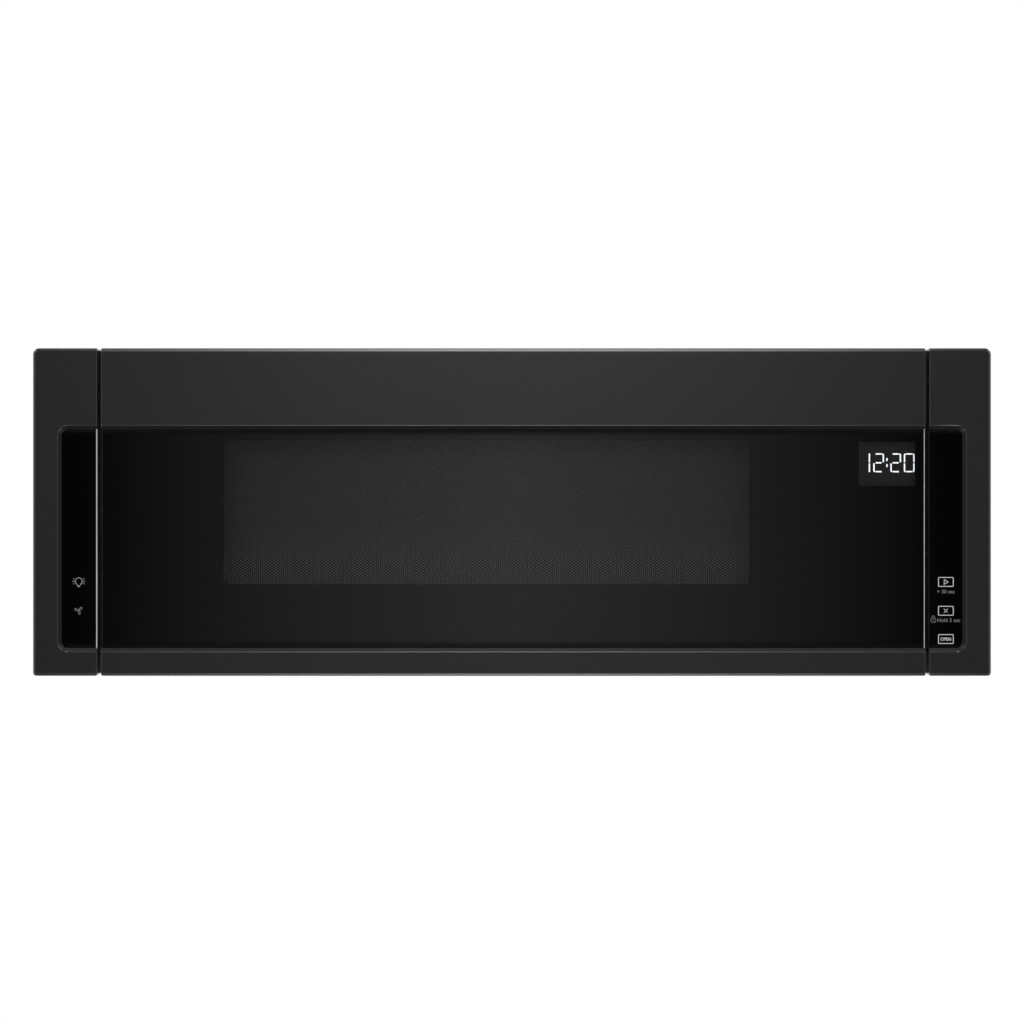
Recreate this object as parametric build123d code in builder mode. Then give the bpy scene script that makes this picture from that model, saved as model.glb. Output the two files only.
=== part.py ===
from build123d import *

import os
from math import cos, radians, sin

# An over-the-range microwave oven of the low-profile class, 760 mm wide and 260 mm high, with
# a drop-down door between two fixed touch-key columns.
#
# Frame: X to the right as seen from the kitchen, the front face at -Y, Z up. The origin is on
# the underside, midway across the width and the depth. All lengths are in millimetres.

# ---- driving dimensions: the outside ------------------------------------------------------
WIDTH = 760.0
DEPTH = 476.0
HEIGHT = 260.0
HALF_WIDTH = WIDTH / 2
FRONT = -DEPTH / 2
BACK = DEPTH / 2
SHEET = 1.0  # chassis sheet steel

# the front: one door between two fixed columns, with equal gaps
DOOR_LEFT = -326.0
DOOR_RIGHT = 328.0
GAP = 3.0
LEFT_COLUMN = (-HALF_WIDTH, DOOR_LEFT - GAP)
RIGHT_COLUMN = (DOOR_RIGHT + GAP, HALF_WIDTH)
BOTTOM_BAND = 19.0  # top of the metal band under the glass
TOP_BAND = 198.6  # bottom of the metal band over the glass
SIDE_BAND = 19.5  # width of the metal band at the outer end of each column
BEVEL = 3.0  # the bands slope in to the glass at 45 degrees
CORNER_RADIUS = 8.0  # corners of the glass opening, at the front of the bevel
FACE = 3.0  # thickness of the front face of a frame
WALL = 2.5  # thickness of its other walls
EDGE = 0.8  # softening of the edges along the gaps
RIM = 0.6  # softening of the front edge of the bevels
CORNER_LOW = 1.5  # rounding of the frames' corners at the gaps, below
CORNER_HIGH = 1.0  # and above
GLASS = 4.0
GLASS_FRONT = FRONT + BEVEL
GLASS_SPAN = (BOTTOM_BAND - 3.0, TOP_BAND + 3.0)
COLUMN_BACK = -196.0
DOOR_BACK = -198.5  # rear rim of the door
DOOR_SHELL_BACK = -203.0  # its inner panel, and its rim along the bottom

# ---- driving dimensions: the chassis ------------------------------------------------------
PLATE_FRONT = COLUMN_BACK
PLATE_BACK = PLATE_FRONT + SHEET
PLATE_BOTTOM = 26.0
PAN_FRONT = -191.0
TOP_UNDER = HEIGHT - SHEET
BACK_UPPER = 236.8  # inner face of the back panel beside the vent blower
BACK_LOWER = 224.8  # inner face of its lower part, set in to clear the wall plate
BACK_STEP = 118.0

# the oven cavity, inside
CAVITY_X = (-280.0, 240.0)
CAVITY_Y = (PLATE_BACK, 150.0)
CAVITY_Z = (44.0, 218.0)
CAVITY_CORNER = 8.0
LINER = 0.8
TURN_X = (CAVITY_X[0] + CAVITY_X[1]) / 2
TURN_Y = (CAVITY_Y[0] + CAVITY_Y[1]) / 2
DISH_RADIUS = 118.0
DISH_FLOOR = CAVITY_Z[0] - 2.0

# the turntable
ROLLER_RADIUS = 7.5
ROLLER_WIDTH = 8.0
ROLLER_ORBIT = 101.0  # from the turntable's axis to the middle of a roller
CLEAR = 0.3  # gap kept between rolling faces
ROLLER_Z = DISH_FLOOR + CLEAR + ROLLER_RADIUS
PLATE_UNDER = ROLLER_Z + ROLLER_RADIUS + CLEAR
PLATE_RADIUS = 160.0
COUPLER_TOP = PLATE_UNDER - CLEAR

# the door's hinge line, in the lower rear edge of the door
HINGE_Y = -206.0
HINGE_Z = 12.0
HINGE_X = 310.5
HINGE_PIN = 3.0
PANEL_BOTTOM = 27.0

# the door latch: two hooks, and the slots they enter
HOOKS_X = (-140.0, 100.0)
HOOK_Z = (241.0, 248.0)
BARB_Z = 236.0
LATCH_LIFT = 4.0

# the window in the door
WINDOW_X = (-229.6, 189.1)
WINDOW_Z = (72.6, 187.3)

# the vent blower and the duct
BLOWER_Y = 194.0
BLOWER_Z = 162.0
CASING_X = (55.0, 127.0)
CASING_TOP = 222.0
CASING_WALL = 1.2
WHEEL_RADIUS = 32.0
WHEEL_INNER = 25.0
WHEEL_X = (60.0, 122.0)
BLADES = 24
DUCT_X = 127.0
DUCT_Y = (152.0, 234.5)
FLAP_Z = 233.0

# the grease filters and the lights under the oven
FILTER_HOLE_X = (110.0, 340.0)
FILTER_HOLE_Y = (-60.0, 110.0)
FILTER_GAP = 2.5
FILTER_Z = (0.5, 8.5)
FILTER_HINGE_Y = 102.0
FILTER_PIN = 1.5
LENS_X = (175.0, 235.0)
LENS_Y = (-150.0, -118.0)

# fixing points
WALL_HOLES_X = 203.2
WALL_HOLES_Z = (30.0, 90.0)
WALL_HOLE = 3.5
CABINET_HOLES_X = 310.0
CABINET_HOLES_Y = 80.0
CABINET_HOLE = 3.3
CORD_X = 250.0
CORD_Y = 200.0
CORD_HOLE = 15.0

# the small fan that cools the electrics, on a line from back to front
FAN_X = 312.0
FAN_Z = 130.0
FAN_RADIUS = 46.0

os.makedirs("parts", exist_ok=True)


def facing(y):
    """The upright plane at depth y, whose extrusions grow towards the front."""
    return Plane.XZ.offset(-y)


def across(x):
    """The upright plane at x, seen from the right, with Y across and Z up."""
    return Plane.YZ.offset(x)


def level(z):
    """The horizontal plane at height z."""
    return Plane.XY.offset(z)


def panel(u, v, radius=0.0, mode=Mode.ADD):
    """A rectangle of a sketch, given its two limits each way."""
    with Locations(((u[0] + u[1]) / 2, (v[0] + v[1]) / 2)):
        if radius:
            RectangleRounded(u[1] - u[0], v[1] - v[0], radius, mode=mode)
        else:
            Rectangle(u[1] - u[0], v[1] - v[0], mode=mode)


def grown(span, amount):
    """A span made longer by the same amount at both ends."""
    return (span[0] - amount, span[1] + amount)


def mirrored(span):
    """The same span on the other side of the middle."""
    return (-span[1], -span[0])


def both_sides(span):
    """A span on the right and its mirror image on the left."""
    return (span, mirrored(span))


def trim_corners(side, inward):
    """Rounds the two corners of a front frame at side, its limit in x along a gap."""
    with BuildSketch(facing(COLUMN_BACK)) as waste:
        for z, radius, up in ((0, CORNER_LOW, 1), (HEIGHT, CORNER_HIGH, -1)):
            panel(sorted((side, side + inward * radius)), sorted((z, z + up * radius)))
            with Locations((side + inward * radius, z + up * radius)):
                Circle(radius, mode=Mode.SUBTRACT)
    extrude(waste.sketch, amount=COLUMN_BACK - FRONT, mode=Mode.SUBTRACT)


def soften_rim(along):
    """Rounds the front edges of the bevels whose middles lie within along, in x."""
    rim = edges().filter_by(lambda e: abs(e.center().Y - FRONT) < 0.01)
    rim = rim.filter_by(lambda e: BOTTOM_BAND - 0.1 < e.center().Z < TOP_BAND + 0.1)
    fillet(rim.filter_by(lambda e: along[0] < e.center().X < along[1]), RIM)


def save(part, label):
    """Names a finished piece and writes it out."""
    part.label = label
    export_step(part, f"parts/{label}.step")


# ---- the two fixed columns ----------------------------------------------------------------
# Each is a stamped frame, open at the back and along the door's side of its glass.
for side, column, outer in (("left", LEFT_COLUMN, 0), ("right", RIGHT_COLUMN, -1)):
    inward = 1 if side == "left" else -1
    end = column[0] if side == "left" else column[1]
    gap_side = column[1] if side == "left" else column[0]
    opening_x = sorted((end + inward * SIDE_BAND, gap_side + inward * 20))
    with BuildPart() as column_frame:
        with BuildSketch(facing(COLUMN_BACK)):
            panel(column, (0, HEIGHT))
            outer_corners = vertices().group_by(Axis.X)[outer].sort_by(Axis.Y)
            fillet(outer_corners[0], 2.5)
            fillet(vertices().group_by(Axis.Y)[-1].sort_by(Axis.X)[outer], 5.0)
        extrude(amount=COLUMN_BACK - FRONT)
        front_rim = faces().sort_by(Axis.Y)[0].edges()
        fillet(front_rim.sort_by(Axis.X)[outer], 2.2)
        gap_face = faces().filter_by(Axis.X).sort_by(Axis.X)[-1 if outer == 0 else 0]
        fillet(gap_face.edges().group_by(Axis.Y)[0], EDGE)
        with BuildSketch(facing(COLUMN_BACK)):
            panel(grown(column, -WALL), (WALL, HEIGHT - WALL))
        extrude(amount=COLUMN_BACK - FRONT - FACE, mode=Mode.SUBTRACT)
        with BuildSketch(facing(FRONT)):
            panel(opening_x, (BOTTOM_BAND, TOP_BAND), CORNER_RADIUS)
        with BuildSketch(facing(FRONT + BEVEL)):
            panel(grown(opening_x, -BEVEL), (BOTTOM_BAND + BEVEL, TOP_BAND - BEVEL), CORNER_RADIUS - BEVEL)
        loft(ruled=True, mode=Mode.SUBTRACT)
        soften_rim(grown(column, -4))
        with BuildSketch(facing(GLASS_FRONT + GLASS)):
            panel(sorted((gap_side + inward, gap_side - inward * WALL)), grown(GLASS_SPAN, 0.1))
        extrude(amount=GLASS, mode=Mode.SUBTRACT)
        trim_corners(gap_side, -inward)
    save(column_frame.part, f"{side}_column_frame")

    with BuildPart() as column_glass:
        with BuildSketch(facing(GLASS_FRONT + GLASS)):
            panel(sorted((end + inward * (WALL + 0.2), gap_side - inward * 0.5)), GLASS_SPAN)
        extrude(amount=GLASS)
        chamfer(edges().filter_by(Axis.Z), 0.5)
    save(column_glass.part, f"{side}_column_glass")

    with BuildPart() as touch_board:
        board = sorted((end + inward * 6, gap_side - inward * 5))
        with BuildSketch(facing(GLASS_FRONT + GLASS + 2.1)):
            panel(board, (22, 194), 2)
        extrude(amount=1.6)
        with BuildSketch(facing(GLASS_FRONT + GLASS + 0.5)):
            with Locations(((board[0] + board[1]) / 2, 52)):
                with GridLocations(0, 22.6, 1, 3):
                    Circle(6)
        extrude(amount=0.5)
        with BuildSketch(facing(GLASS_FRONT + GLASS + 4.1)):
            panel(grown(board, -8), (110, 126))
            panel(grown(board, -12), (150, 168))
        extrude(amount=2)
    save(touch_board.part, f"{side}_touch_board")

# ---- the door -----------------------------------------------------------------------------
# The frame is one shell: a tall band over the glass and a low one under it. The glass runs the
# whole width between them.
with BuildPart() as door_frame:
    with BuildSketch(facing(DOOR_BACK)):
        panel((DOOR_LEFT, DOOR_RIGHT), (0, HEIGHT))
    extrude(amount=DOOR_BACK - FRONT)
    fillet(faces().sort_by(Axis.Y)[0].edges().sort_by(Axis.Z)[-1], 3.0)
    fillet(faces().sort_by(Axis.Y)[0].edges().sort_by(Axis.Z)[0], 2.0)
    for end_face in (faces().sort_by(Axis.X)[0], faces().sort_by(Axis.X)[-1]):
        fillet(end_face.edges().filter_by(lambda e: e.center().Y < DOOR_BACK - 1), EDGE)
    with BuildSketch(facing(DOOR_BACK)):
        panel(grown((DOOR_LEFT, DOOR_RIGHT), -WALL), (WALL, HEIGHT - WALL))
    extrude(amount=DOOR_BACK - FRONT - FACE, mode=Mode.SUBTRACT)
    # the bottom corner is cut back, because it swings past the base pan
    with BuildSketch(across(DOOR_LEFT)):
        panel((DOOR_SHELL_BACK, DOOR_BACK), (0, PANEL_BOTTOM - 5))
    extrude(amount=DOOR_RIGHT - DOOR_LEFT, mode=Mode.SUBTRACT)
    wide = grown((DOOR_LEFT, DOOR_RIGHT), 10)
    with BuildSketch(facing(FRONT)):
        panel(wide, (BOTTOM_BAND, TOP_BAND))
    with BuildSketch(facing(FRONT + BEVEL)):
        panel(wide, (BOTTOM_BAND + BEVEL, TOP_BAND - BEVEL))
    loft(ruled=True, mode=Mode.SUBTRACT)
    soften_rim(grown((DOOR_LEFT, DOOR_RIGHT), -4))
    with BuildSketch(facing(GLASS_FRONT + GLASS)):
        panel(wide, grown(GLASS_SPAN, 0.1))
    extrude(amount=GLASS, mode=Mode.SUBTRACT)
    # ledges that hold the glass, above and below
    with BuildSketch(facing(GLASS_FRONT + GLASS + 3)):
        panel(grown((DOOR_LEFT, DOOR_RIGHT), -WALL), (GLASS_SPAN[0] - 2, GLASS_SPAN[0] - 0.1))
        panel(grown((DOOR_LEFT, DOOR_RIGHT), -WALL), (GLASS_SPAN[1] + 0.1, GLASS_SPAN[1] + 2))
    extrude(amount=GLASS + 3)
    # ribs that stiffen the tall band
    with BuildSketch(facing(GLASS_FRONT + 12)):
        with Locations(((DOOR_LEFT + DOOR_RIGHT) / 2, (GLASS_SPAN[1] + HEIGHT) / 2)):
            with GridLocations(80, 0, 8, 1):
                Rectangle(2, HEIGHT - GLASS_SPAN[1] - 4)
    extrude(amount=12)
    # notches in the bottom wall, where the hinge tongues pass when the door is down
    with BuildSketch(level(0)):
        for middle in (-HINGE_X, HINGE_X):
            panel((middle - 12.7, middle + 12.7), (HINGE_Y - 18, DOOR_SHELL_BACK + 1))
    extrude(amount=WALL, mode=Mode.SUBTRACT)
    trim_corners(DOOR_LEFT, 1)
    trim_corners(DOOR_RIGHT, -1)
save(door_frame.part, "door_frame")

with BuildPart() as door_glass:
    with BuildSketch(facing(GLASS_FRONT + GLASS)):
        panel(grown((DOOR_LEFT, DOOR_RIGHT), -0.5), GLASS_SPAN)
    extrude(amount=GLASS)
    chamfer(edges().filter_by(Axis.Z), 0.5)
save(door_glass.part, "door_glass")

# The inner panel closes the shell, with a pocket pressed forward round the window. Round the
# pocket a channel, the choke, faces the oven's front plate.
POCKET_X = grown(WINDOW_X, 8)
POCKET_Z = grown(WINDOW_Z, 8)
POCKET_FRONT = -222.0
CHOKE_X = (-304.0, 264.0)
CHOKE_Z = (PANEL_BOTTOM + 1, 238.0)
CHOKE_FRONT = -216.0
with BuildPart() as door_panel:
    with BuildSketch(facing(DOOR_SHELL_BACK + SHEET)):
        panel(grown((DOOR_LEFT, DOOR_RIGHT), -WALL - 0.2), (PANEL_BOTTOM, HEIGHT - WALL - 0.2))
    extrude(amount=SHEET)
    # the choke channel, pressed forward
    with BuildSketch(facing(DOOR_SHELL_BACK)):
        panel(grown(CHOKE_X, -8), grown(CHOKE_Z, -6), 6)
    extrude(amount=DOOR_SHELL_BACK - CHOKE_FRONT)
    with BuildSketch(facing(DOOR_SHELL_BACK + SHEET)):
        panel(grown(CHOKE_X, -9), grown(CHOKE_Z, -7), 5)
        panel(grown(POCKET_X, 9), grown(POCKET_Z, 9), 10, mode=Mode.SUBTRACT)
    extrude(amount=DOOR_SHELL_BACK + SHEET - CHOKE_FRONT - SHEET, mode=Mode.SUBTRACT)
    # the wall between the choke and the window pocket stays one sheet thick
    with BuildSketch(facing(DOOR_SHELL_BACK)):
        panel(grown(POCKET_X, 8), grown(POCKET_Z, 8), 9)
    extrude(amount=DOOR_SHELL_BACK - POCKET_FRONT)
    with BuildSketch(facing(DOOR_SHELL_BACK + SHEET)):
        panel(grown(POCKET_X, 7), grown(POCKET_Z, 7), 8)
    extrude(amount=DOOR_SHELL_BACK + SHEET - POCKET_FRONT - SHEET, mode=Mode.SUBTRACT)
    with BuildSketch(facing(POCKET_FRONT + SHEET)):
        panel(WINDOW_X, WINDOW_Z, 3)
    extrude(amount=SHEET, mode=Mode.SUBTRACT)
    # slots for the latch hooks
    with BuildSketch(facing(DOOR_SHELL_BACK + SHEET)):
        for hook_x in HOOKS_X:
            panel((hook_x - 6, hook_x + 6), (HOOK_Z[0] - 1.5, HOOK_Z[1] + LATCH_LIFT + 1.5))
    extrude(amount=SHEET, mode=Mode.SUBTRACT)
save(door_panel.part, "door_panel")

# The shield behind the glass. Its fine holes are too small to model one by one.
with BuildPart() as perforated_screen:
    with BuildSketch(facing(POCKET_FRONT + SHEET + 0.5)):
        panel(grown(WINDOW_X, 5), grown(WINDOW_Z, 5), 3)
    extrude(amount=0.5)
save(perforated_screen.part, "perforated_screen")

COVER_BACK = -198.0
with BuildPart() as inner_window:
    with BuildSketch(facing(COVER_BACK - 1.0)):
        panel(grown(POCKET_X, 5), grown(POCKET_Z, 5), 6)
    extrude(amount=2.5)
save(inner_window.part, "inner_window")

# A moulded ring covers the choke channel and holds the inner pane.
with BuildPart() as choke_cover:
    with BuildSketch(facing(COVER_BACK)):
        panel(CHOKE_X, CHOKE_Z, 10)
        panel(grown(POCKET_X, 2), grown(POCKET_Z, 2), 4, mode=Mode.SUBTRACT)
    extrude(amount=COVER_BACK - DOOR_SHELL_BACK - SHEET)
    chamfer(faces().sort_by(Axis.Y)[-1].outer_wire().edges(), 1.0)
    with BuildSketch(facing(COVER_BACK - 1.0)):
        panel(grown(POCKET_X, 5.2), grown(POCKET_Z, 5.2), 6.2)
    extrude(amount=4, mode=Mode.SUBTRACT)
    # moulded teeth that plug into the choke channel
    with BuildSketch(facing(DOOR_SHELL_BACK + SHEET)):
        for row in (CHOKE_Z[0] + 14, CHOKE_Z[1] - 14):
            with Locations(((CHOKE_X[0] + CHOKE_X[1]) / 2, row)):
                with GridLocations(40, 0, 14, 1):
                    Rectangle(14, 3)
    extrude(amount=8)
save(choke_cover.part, "choke_cover")

# The clock display, fixed behind the door glass.
DISPLAY_X = (275.3, 320.5)
DISPLAY_Z = (150.5, 186.0)
with BuildPart() as display_module:
    with BuildSketch(facing(GLASS_FRONT + GLASS + 8)):
        panel(DISPLAY_X, DISPLAY_Z, 1)
    extrude(amount=8)
    with BuildSketch(facing(GLASS_FRONT + GLASS + 9.6)):
        panel(grown(DISPLAY_X, 2.5), grown(DISPLAY_Z, 4), 2)
        with Locations(((DISPLAY_X[0] + DISPLAY_X[1]) / 2, (DISPLAY_Z[0] + DISPLAY_Z[1]) / 2)):
            with GridLocations(42, 38, 2, 2):
                Circle(1.5, mode=Mode.SUBTRACT)
    extrude(amount=1.6)
    with BuildSketch(facing(GLASS_FRONT + GLASS + 12.6)):
        panel((DISPLAY_X[0] + 4, DISPLAY_X[0] + 20), (160, 170))
        panel((DISPLAY_X[1] - 14, DISPLAY_X[1] - 6), (156, 176))
    extrude(amount=3)
save(display_module.part, "display_module")

# ---- the hinges ---------------------------------------------------------------------------
# On each side a tongue fixed to the base pan stands between two ears on the door.
TONGUE = 2.5
EAR_NEAR = 6.0
EAR = 2.5
with BuildPart() as hinge_brackets:
    for middle in (-HINGE_X, HINGE_X):
        with BuildSketch(across(middle - TONGUE)):
            with Locations((HINGE_Y, HINGE_Z)):
                Circle(7)
            panel((HINGE_Y, PAN_FRONT - 3), (HINGE_Z - 7, HINGE_Z + 7))
            with Locations((HINGE_Y, HINGE_Z)):
                Circle(HINGE_PIN, mode=Mode.SUBTRACT)
        extrude(amount=2 * TONGUE)
        with BuildSketch(facing(PAN_FRONT)):
            panel((middle - 10, middle + 10), (3, 22), 3)
            with Locations((middle, 12.5)):
                with GridLocations(13, 0, 2, 1):
                    Circle(1.8, mode=Mode.SUBTRACT)
        extrude(amount=3)
save(hinge_brackets.part, "hinge_brackets")

with BuildPart() as hinge_pins:
    for middle in (-HINGE_X, HINGE_X):
        with BuildSketch(across(middle - EAR_NEAR - EAR - 1)):
            with Locations((HINGE_Y, HINGE_Z)):
                Circle(HINGE_PIN)
        extrude(amount=2 * (EAR_NEAR + EAR + 1))
save(hinge_pins.part, "hinge_pins")

with BuildPart() as door_hinge_arms:
    for middle in (-HINGE_X, HINGE_X):
        for start in (middle - EAR_NEAR - EAR, middle + EAR_NEAR):
            with BuildSketch(across(start)):
                with BuildLine():
                    Polyline(
                        (HINGE_Y - 6, HINGE_Z),
                        (HINGE_Y - 6, HINGE_Z + 22),
                        (HINGE_Y - 2, HINGE_Z + 34),
                        (DOOR_SHELL_BACK, HINGE_Z + 34),
                        (DOOR_SHELL_BACK, PANEL_BOTTOM),
                        (HINGE_Y + 6, HINGE_Z),
                        close=True,
                    )
                make_face()
                with Locations((HINGE_Y, HINGE_Z)):
                    Circle(6)
                    Circle(HINGE_PIN + 0.06, mode=Mode.SUBTRACT)
            extrude(amount=EAR)
        with BuildSketch(facing(DOOR_SHELL_BACK)):
            panel((middle - EAR_NEAR - EAR, middle + EAR_NEAR + EAR), (PANEL_BOTTOM + 3, HINGE_Z + 34), 1)
        extrude(amount=2)
save(door_hinge_arms.part, "door_hinge_arms")

# ---- the latch and its release ------------------------------------------------------------
HOOK_HALF = 4.0
HOOK_TIP = -186.0
BAR_Y = (-211.0, -204.0)
with BuildPart() as latch_bar:
    with BuildSketch(level(HOOK_Z[0])):
        panel((HOOKS_X[0] - 14, HOOKS_X[1] + 14), BAR_Y, 2)
        panel((HOOKS_X[0] + 20, HOOKS_X[1] - 20), (BAR_Y[0] - 1, BAR_Y[0] + 2), mode=Mode.SUBTRACT)
    extrude(amount=HOOK_Z[1] - HOOK_Z[0])
    for hook_x in HOOKS_X:
        with BuildSketch(across(hook_x - HOOK_HALF)):
            with BuildLine():
                Polyline(
                    (BAR_Y[1] - 1, HOOK_Z[0]),
                    (PLATE_BACK + 0.3, HOOK_Z[0]),
                    (PLATE_BACK + 0.3, BARB_Z),
                    (PLATE_BACK + 5, BARB_Z),
                    (HOOK_TIP, HOOK_Z[0] + 2),
                    (HOOK_TIP, HOOK_Z[1] - 2),
                    (HOOK_TIP - 2, HOOK_Z[1]),
                    (BAR_Y[1] - 1, HOOK_Z[1]),
                    close=True,
                )
            make_face()
        extrude(amount=2 * HOOK_HALF)
save(latch_bar.part, "latch_bar")

BAR_TOP = BARB_Z - 0.5
SOLENOID_X = 288.0
SOLENOID_Y = -178.0
PLUNGER = 4.0
with BuildPart() as release_bar:
    with BuildSketch(level(BAR_TOP - 5.5)):
        panel((HOOKS_X[0] - 12, SOLENOID_X + 8), (PLATE_BACK + 1, PLATE_BACK + 7), 2)
        panel((SOLENOID_X - 8, SOLENOID_X + 8), (PLATE_BACK + 1, SOLENOID_Y + 7), 2)
    extrude(amount=5.5)
    with BuildSketch(level(BAR_TOP - 45)):
        with Locations((SOLENOID_X, SOLENOID_Y)):
            Circle(PLUNGER)
    extrude(amount=42)
save(release_bar.part, "release_bar")

with BuildPart() as release_solenoid:
    with BuildSketch(level(182)):
        panel((SOLENOID_X - 14, SOLENOID_X + 14), (PLATE_BACK, SOLENOID_Y + 13), 2)
    extrude(amount=3)
    with BuildSketch(level(185)):
        with Locations((SOLENOID_X, SOLENOID_Y)):
            Circle(12)
    extrude(amount=36)
    with BuildSketch(level(221)):
        panel((SOLENOID_X - 14, SOLENOID_X + 14), (PLATE_BACK, SOLENOID_Y + 13), 2)
    extrude(amount=3)
    with BuildSketch(facing(PLATE_BACK + 2)):
        panel((SOLENOID_X - 14, SOLENOID_X + 14), (182, 224))
    extrude(amount=2)
    with BuildSketch(level(182)):
        with Locations((SOLENOID_X, SOLENOID_Y)):
            Circle(PLUNGER + 0.08)
    extrude(amount=42, mode=Mode.SUBTRACT)
save(release_solenoid.part, "release_solenoid")

SWITCH_Z = (236.0, 252.0)
SWITCH_FRONT = -182.0
PUSHER = 2.0
PUSHER_TIP = -185.3
with BuildPart() as interlock_switches:
    for hook_x in HOOKS_X:
        sides = (hook_x - 14, hook_x + 14)
        with BuildSketch(level(226)):
            panel(sides, (PLATE_BACK, -154))
        extrude(amount=1.5)
        with BuildSketch(level(226)):
            panel((sides[0], sides[0] + 1.5), (-184, -154))
            panel((sides[1] - 1.5, sides[1]), (-184, -154))
        extrude(amount=SWITCH_Z[1] - 226)
        with BuildSketch(facing(-155)):
            panel(grown(sides, -1.5), SWITCH_Z, 1)
            with Locations((hook_x, 240)):
                with GridLocations(16, 0, 2, 1):
                    Circle(1.5, mode=Mode.SUBTRACT)
        extrude(amount=-155 - SWITCH_FRONT)
        with BuildSketch(facing(-170)):
            panel((hook_x - PUSHER - 0.1, hook_x + PUSHER + 0.1), (242.9, 247.1))
        extrude(amount=-170 - SWITCH_FRONT, mode=Mode.SUBTRACT)
        with BuildSketch(facing(-150)):
            with Locations((hook_x, 246)):
                with GridLocations(7, 0, 3, 1):
                    Rectangle(0.8, 5)
        extrude(amount=5)
save(interlock_switches.part, "interlock_switches")

with BuildPart() as switch_plungers:
    for hook_x in HOOKS_X:
        with BuildSketch(facing(-174)):
            panel((hook_x - PUSHER, hook_x + PUSHER), (243, 247))
        extrude(amount=-174 - PUSHER_TIP)
save(switch_plungers.part, "switch_plungers")

# ---- the chassis --------------------------------------------------------------------------
with BuildPart() as front_plate:
    with BuildSketch(across(-HALF_WIDTH + 4)):
        panel((PLATE_FRONT, PLATE_BACK), (PLATE_BOTTOM, TOP_UNDER))
        panel((PLATE_FRONT, PLATE_FRONT + 8), (TOP_UNDER - SHEET, TOP_UNDER))
        panel((PLATE_FRONT, PAN_FRONT + SHEET), (PLATE_BOTTOM, PLATE_BOTTOM + SHEET))
    extrude(amount=WIDTH - 8)
    with BuildSketch(facing(PLATE_BACK)):
        panel(CAVITY_X, CAVITY_Z, CAVITY_CORNER)
        for hook_x in HOOKS_X:
            panel((hook_x - 7, hook_x + 7), (BARB_Z + 3, HOOK_Z[1] + LATCH_LIFT + 3))
    extrude(amount=SHEET, mode=Mode.SUBTRACT)
save(front_plate.part, "front_plate")

with BuildPart() as base_pan:
    with BuildSketch(level(0)):
        panel((-HALF_WIDTH + SHEET, HALF_WIDTH - SHEET), (PAN_FRONT, BACK_LOWER + SHEET))
    extrude(amount=SHEET)
    with BuildSketch(facing(PAN_FRONT + SHEET)):
        panel((-HALF_WIDTH + 4, HALF_WIDTH - 4), (0, PLATE_BOTTOM))
    extrude(amount=SHEET)
    # turned-up lips round the two filter openings, with the holes for the filters' pins
    with BuildSketch(level(0)):
        for hole_x in both_sides(FILTER_HOLE_X):
            panel(grown(hole_x, SHEET), grown(FILTER_HOLE_Y, SHEET))
    extrude(amount=8)
    with BuildSketch(level(0)):
        for hole_x in both_sides(FILTER_HOLE_X):
            panel(hole_x, FILTER_HOLE_Y)
        for lens_x in both_sides(LENS_X):
            panel(lens_x, LENS_Y, 4)
        with Locations((302, -80)):
            with GridLocations(9, 0, 10, 1):
                SlotOverall(24, 4, rotation=90)
    extrude(amount=8, mode=Mode.SUBTRACT)
    with BuildSketch(across(-HALF_WIDTH)):
        with Locations((FILTER_HINGE_Y, (FILTER_Z[0] + FILTER_Z[1]) / 2)):
            Circle(FILTER_PIN + 0.08)
    extrude(amount=WIDTH, mode=Mode.SUBTRACT)
save(base_pan.part, "base_pan")

for side, web in (("left", -HALF_WIDTH), ("right", HALF_WIDTH - SHEET)):
    flange = (web, web + 9) if side == "left" else (web + SHEET - 9, web + SHEET)
    with BuildPart() as side_panel:
        with BuildSketch(facing(BACK)):
            panel((web, web + SHEET), (0, HEIGHT))
            panel(flange, (SHEET, 2 * SHEET))
            panel(flange, (TOP_UNDER - SHEET, TOP_UNDER))
        extrude(amount=BACK - COLUMN_BACK)
        # clearance for the front plate's ends and for the back panel
        inside = (web + SHEET, web + 10) if side == "left" else (web - 10, web)
        with BuildSketch(level(SHEET)):
            panel(inside, (BACK_LOWER, BACK + 1))
            panel(inside, (COLUMN_BACK - 1, PLATE_FRONT + 8.2))
        extrude(amount=HEIGHT - 2 * SHEET, mode=Mode.SUBTRACT)
        # louvres for the cooling air
        with BuildSketch(across(web)):
            with Locations((-60, 225)):
                with GridLocations(12, 0, 12, 1):
                    SlotOverall(30, 3, rotation=90)
        extrude(amount=SHEET, mode=Mode.SUBTRACT)
    save(side_panel.part, f"{side}_side_panel")

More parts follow.
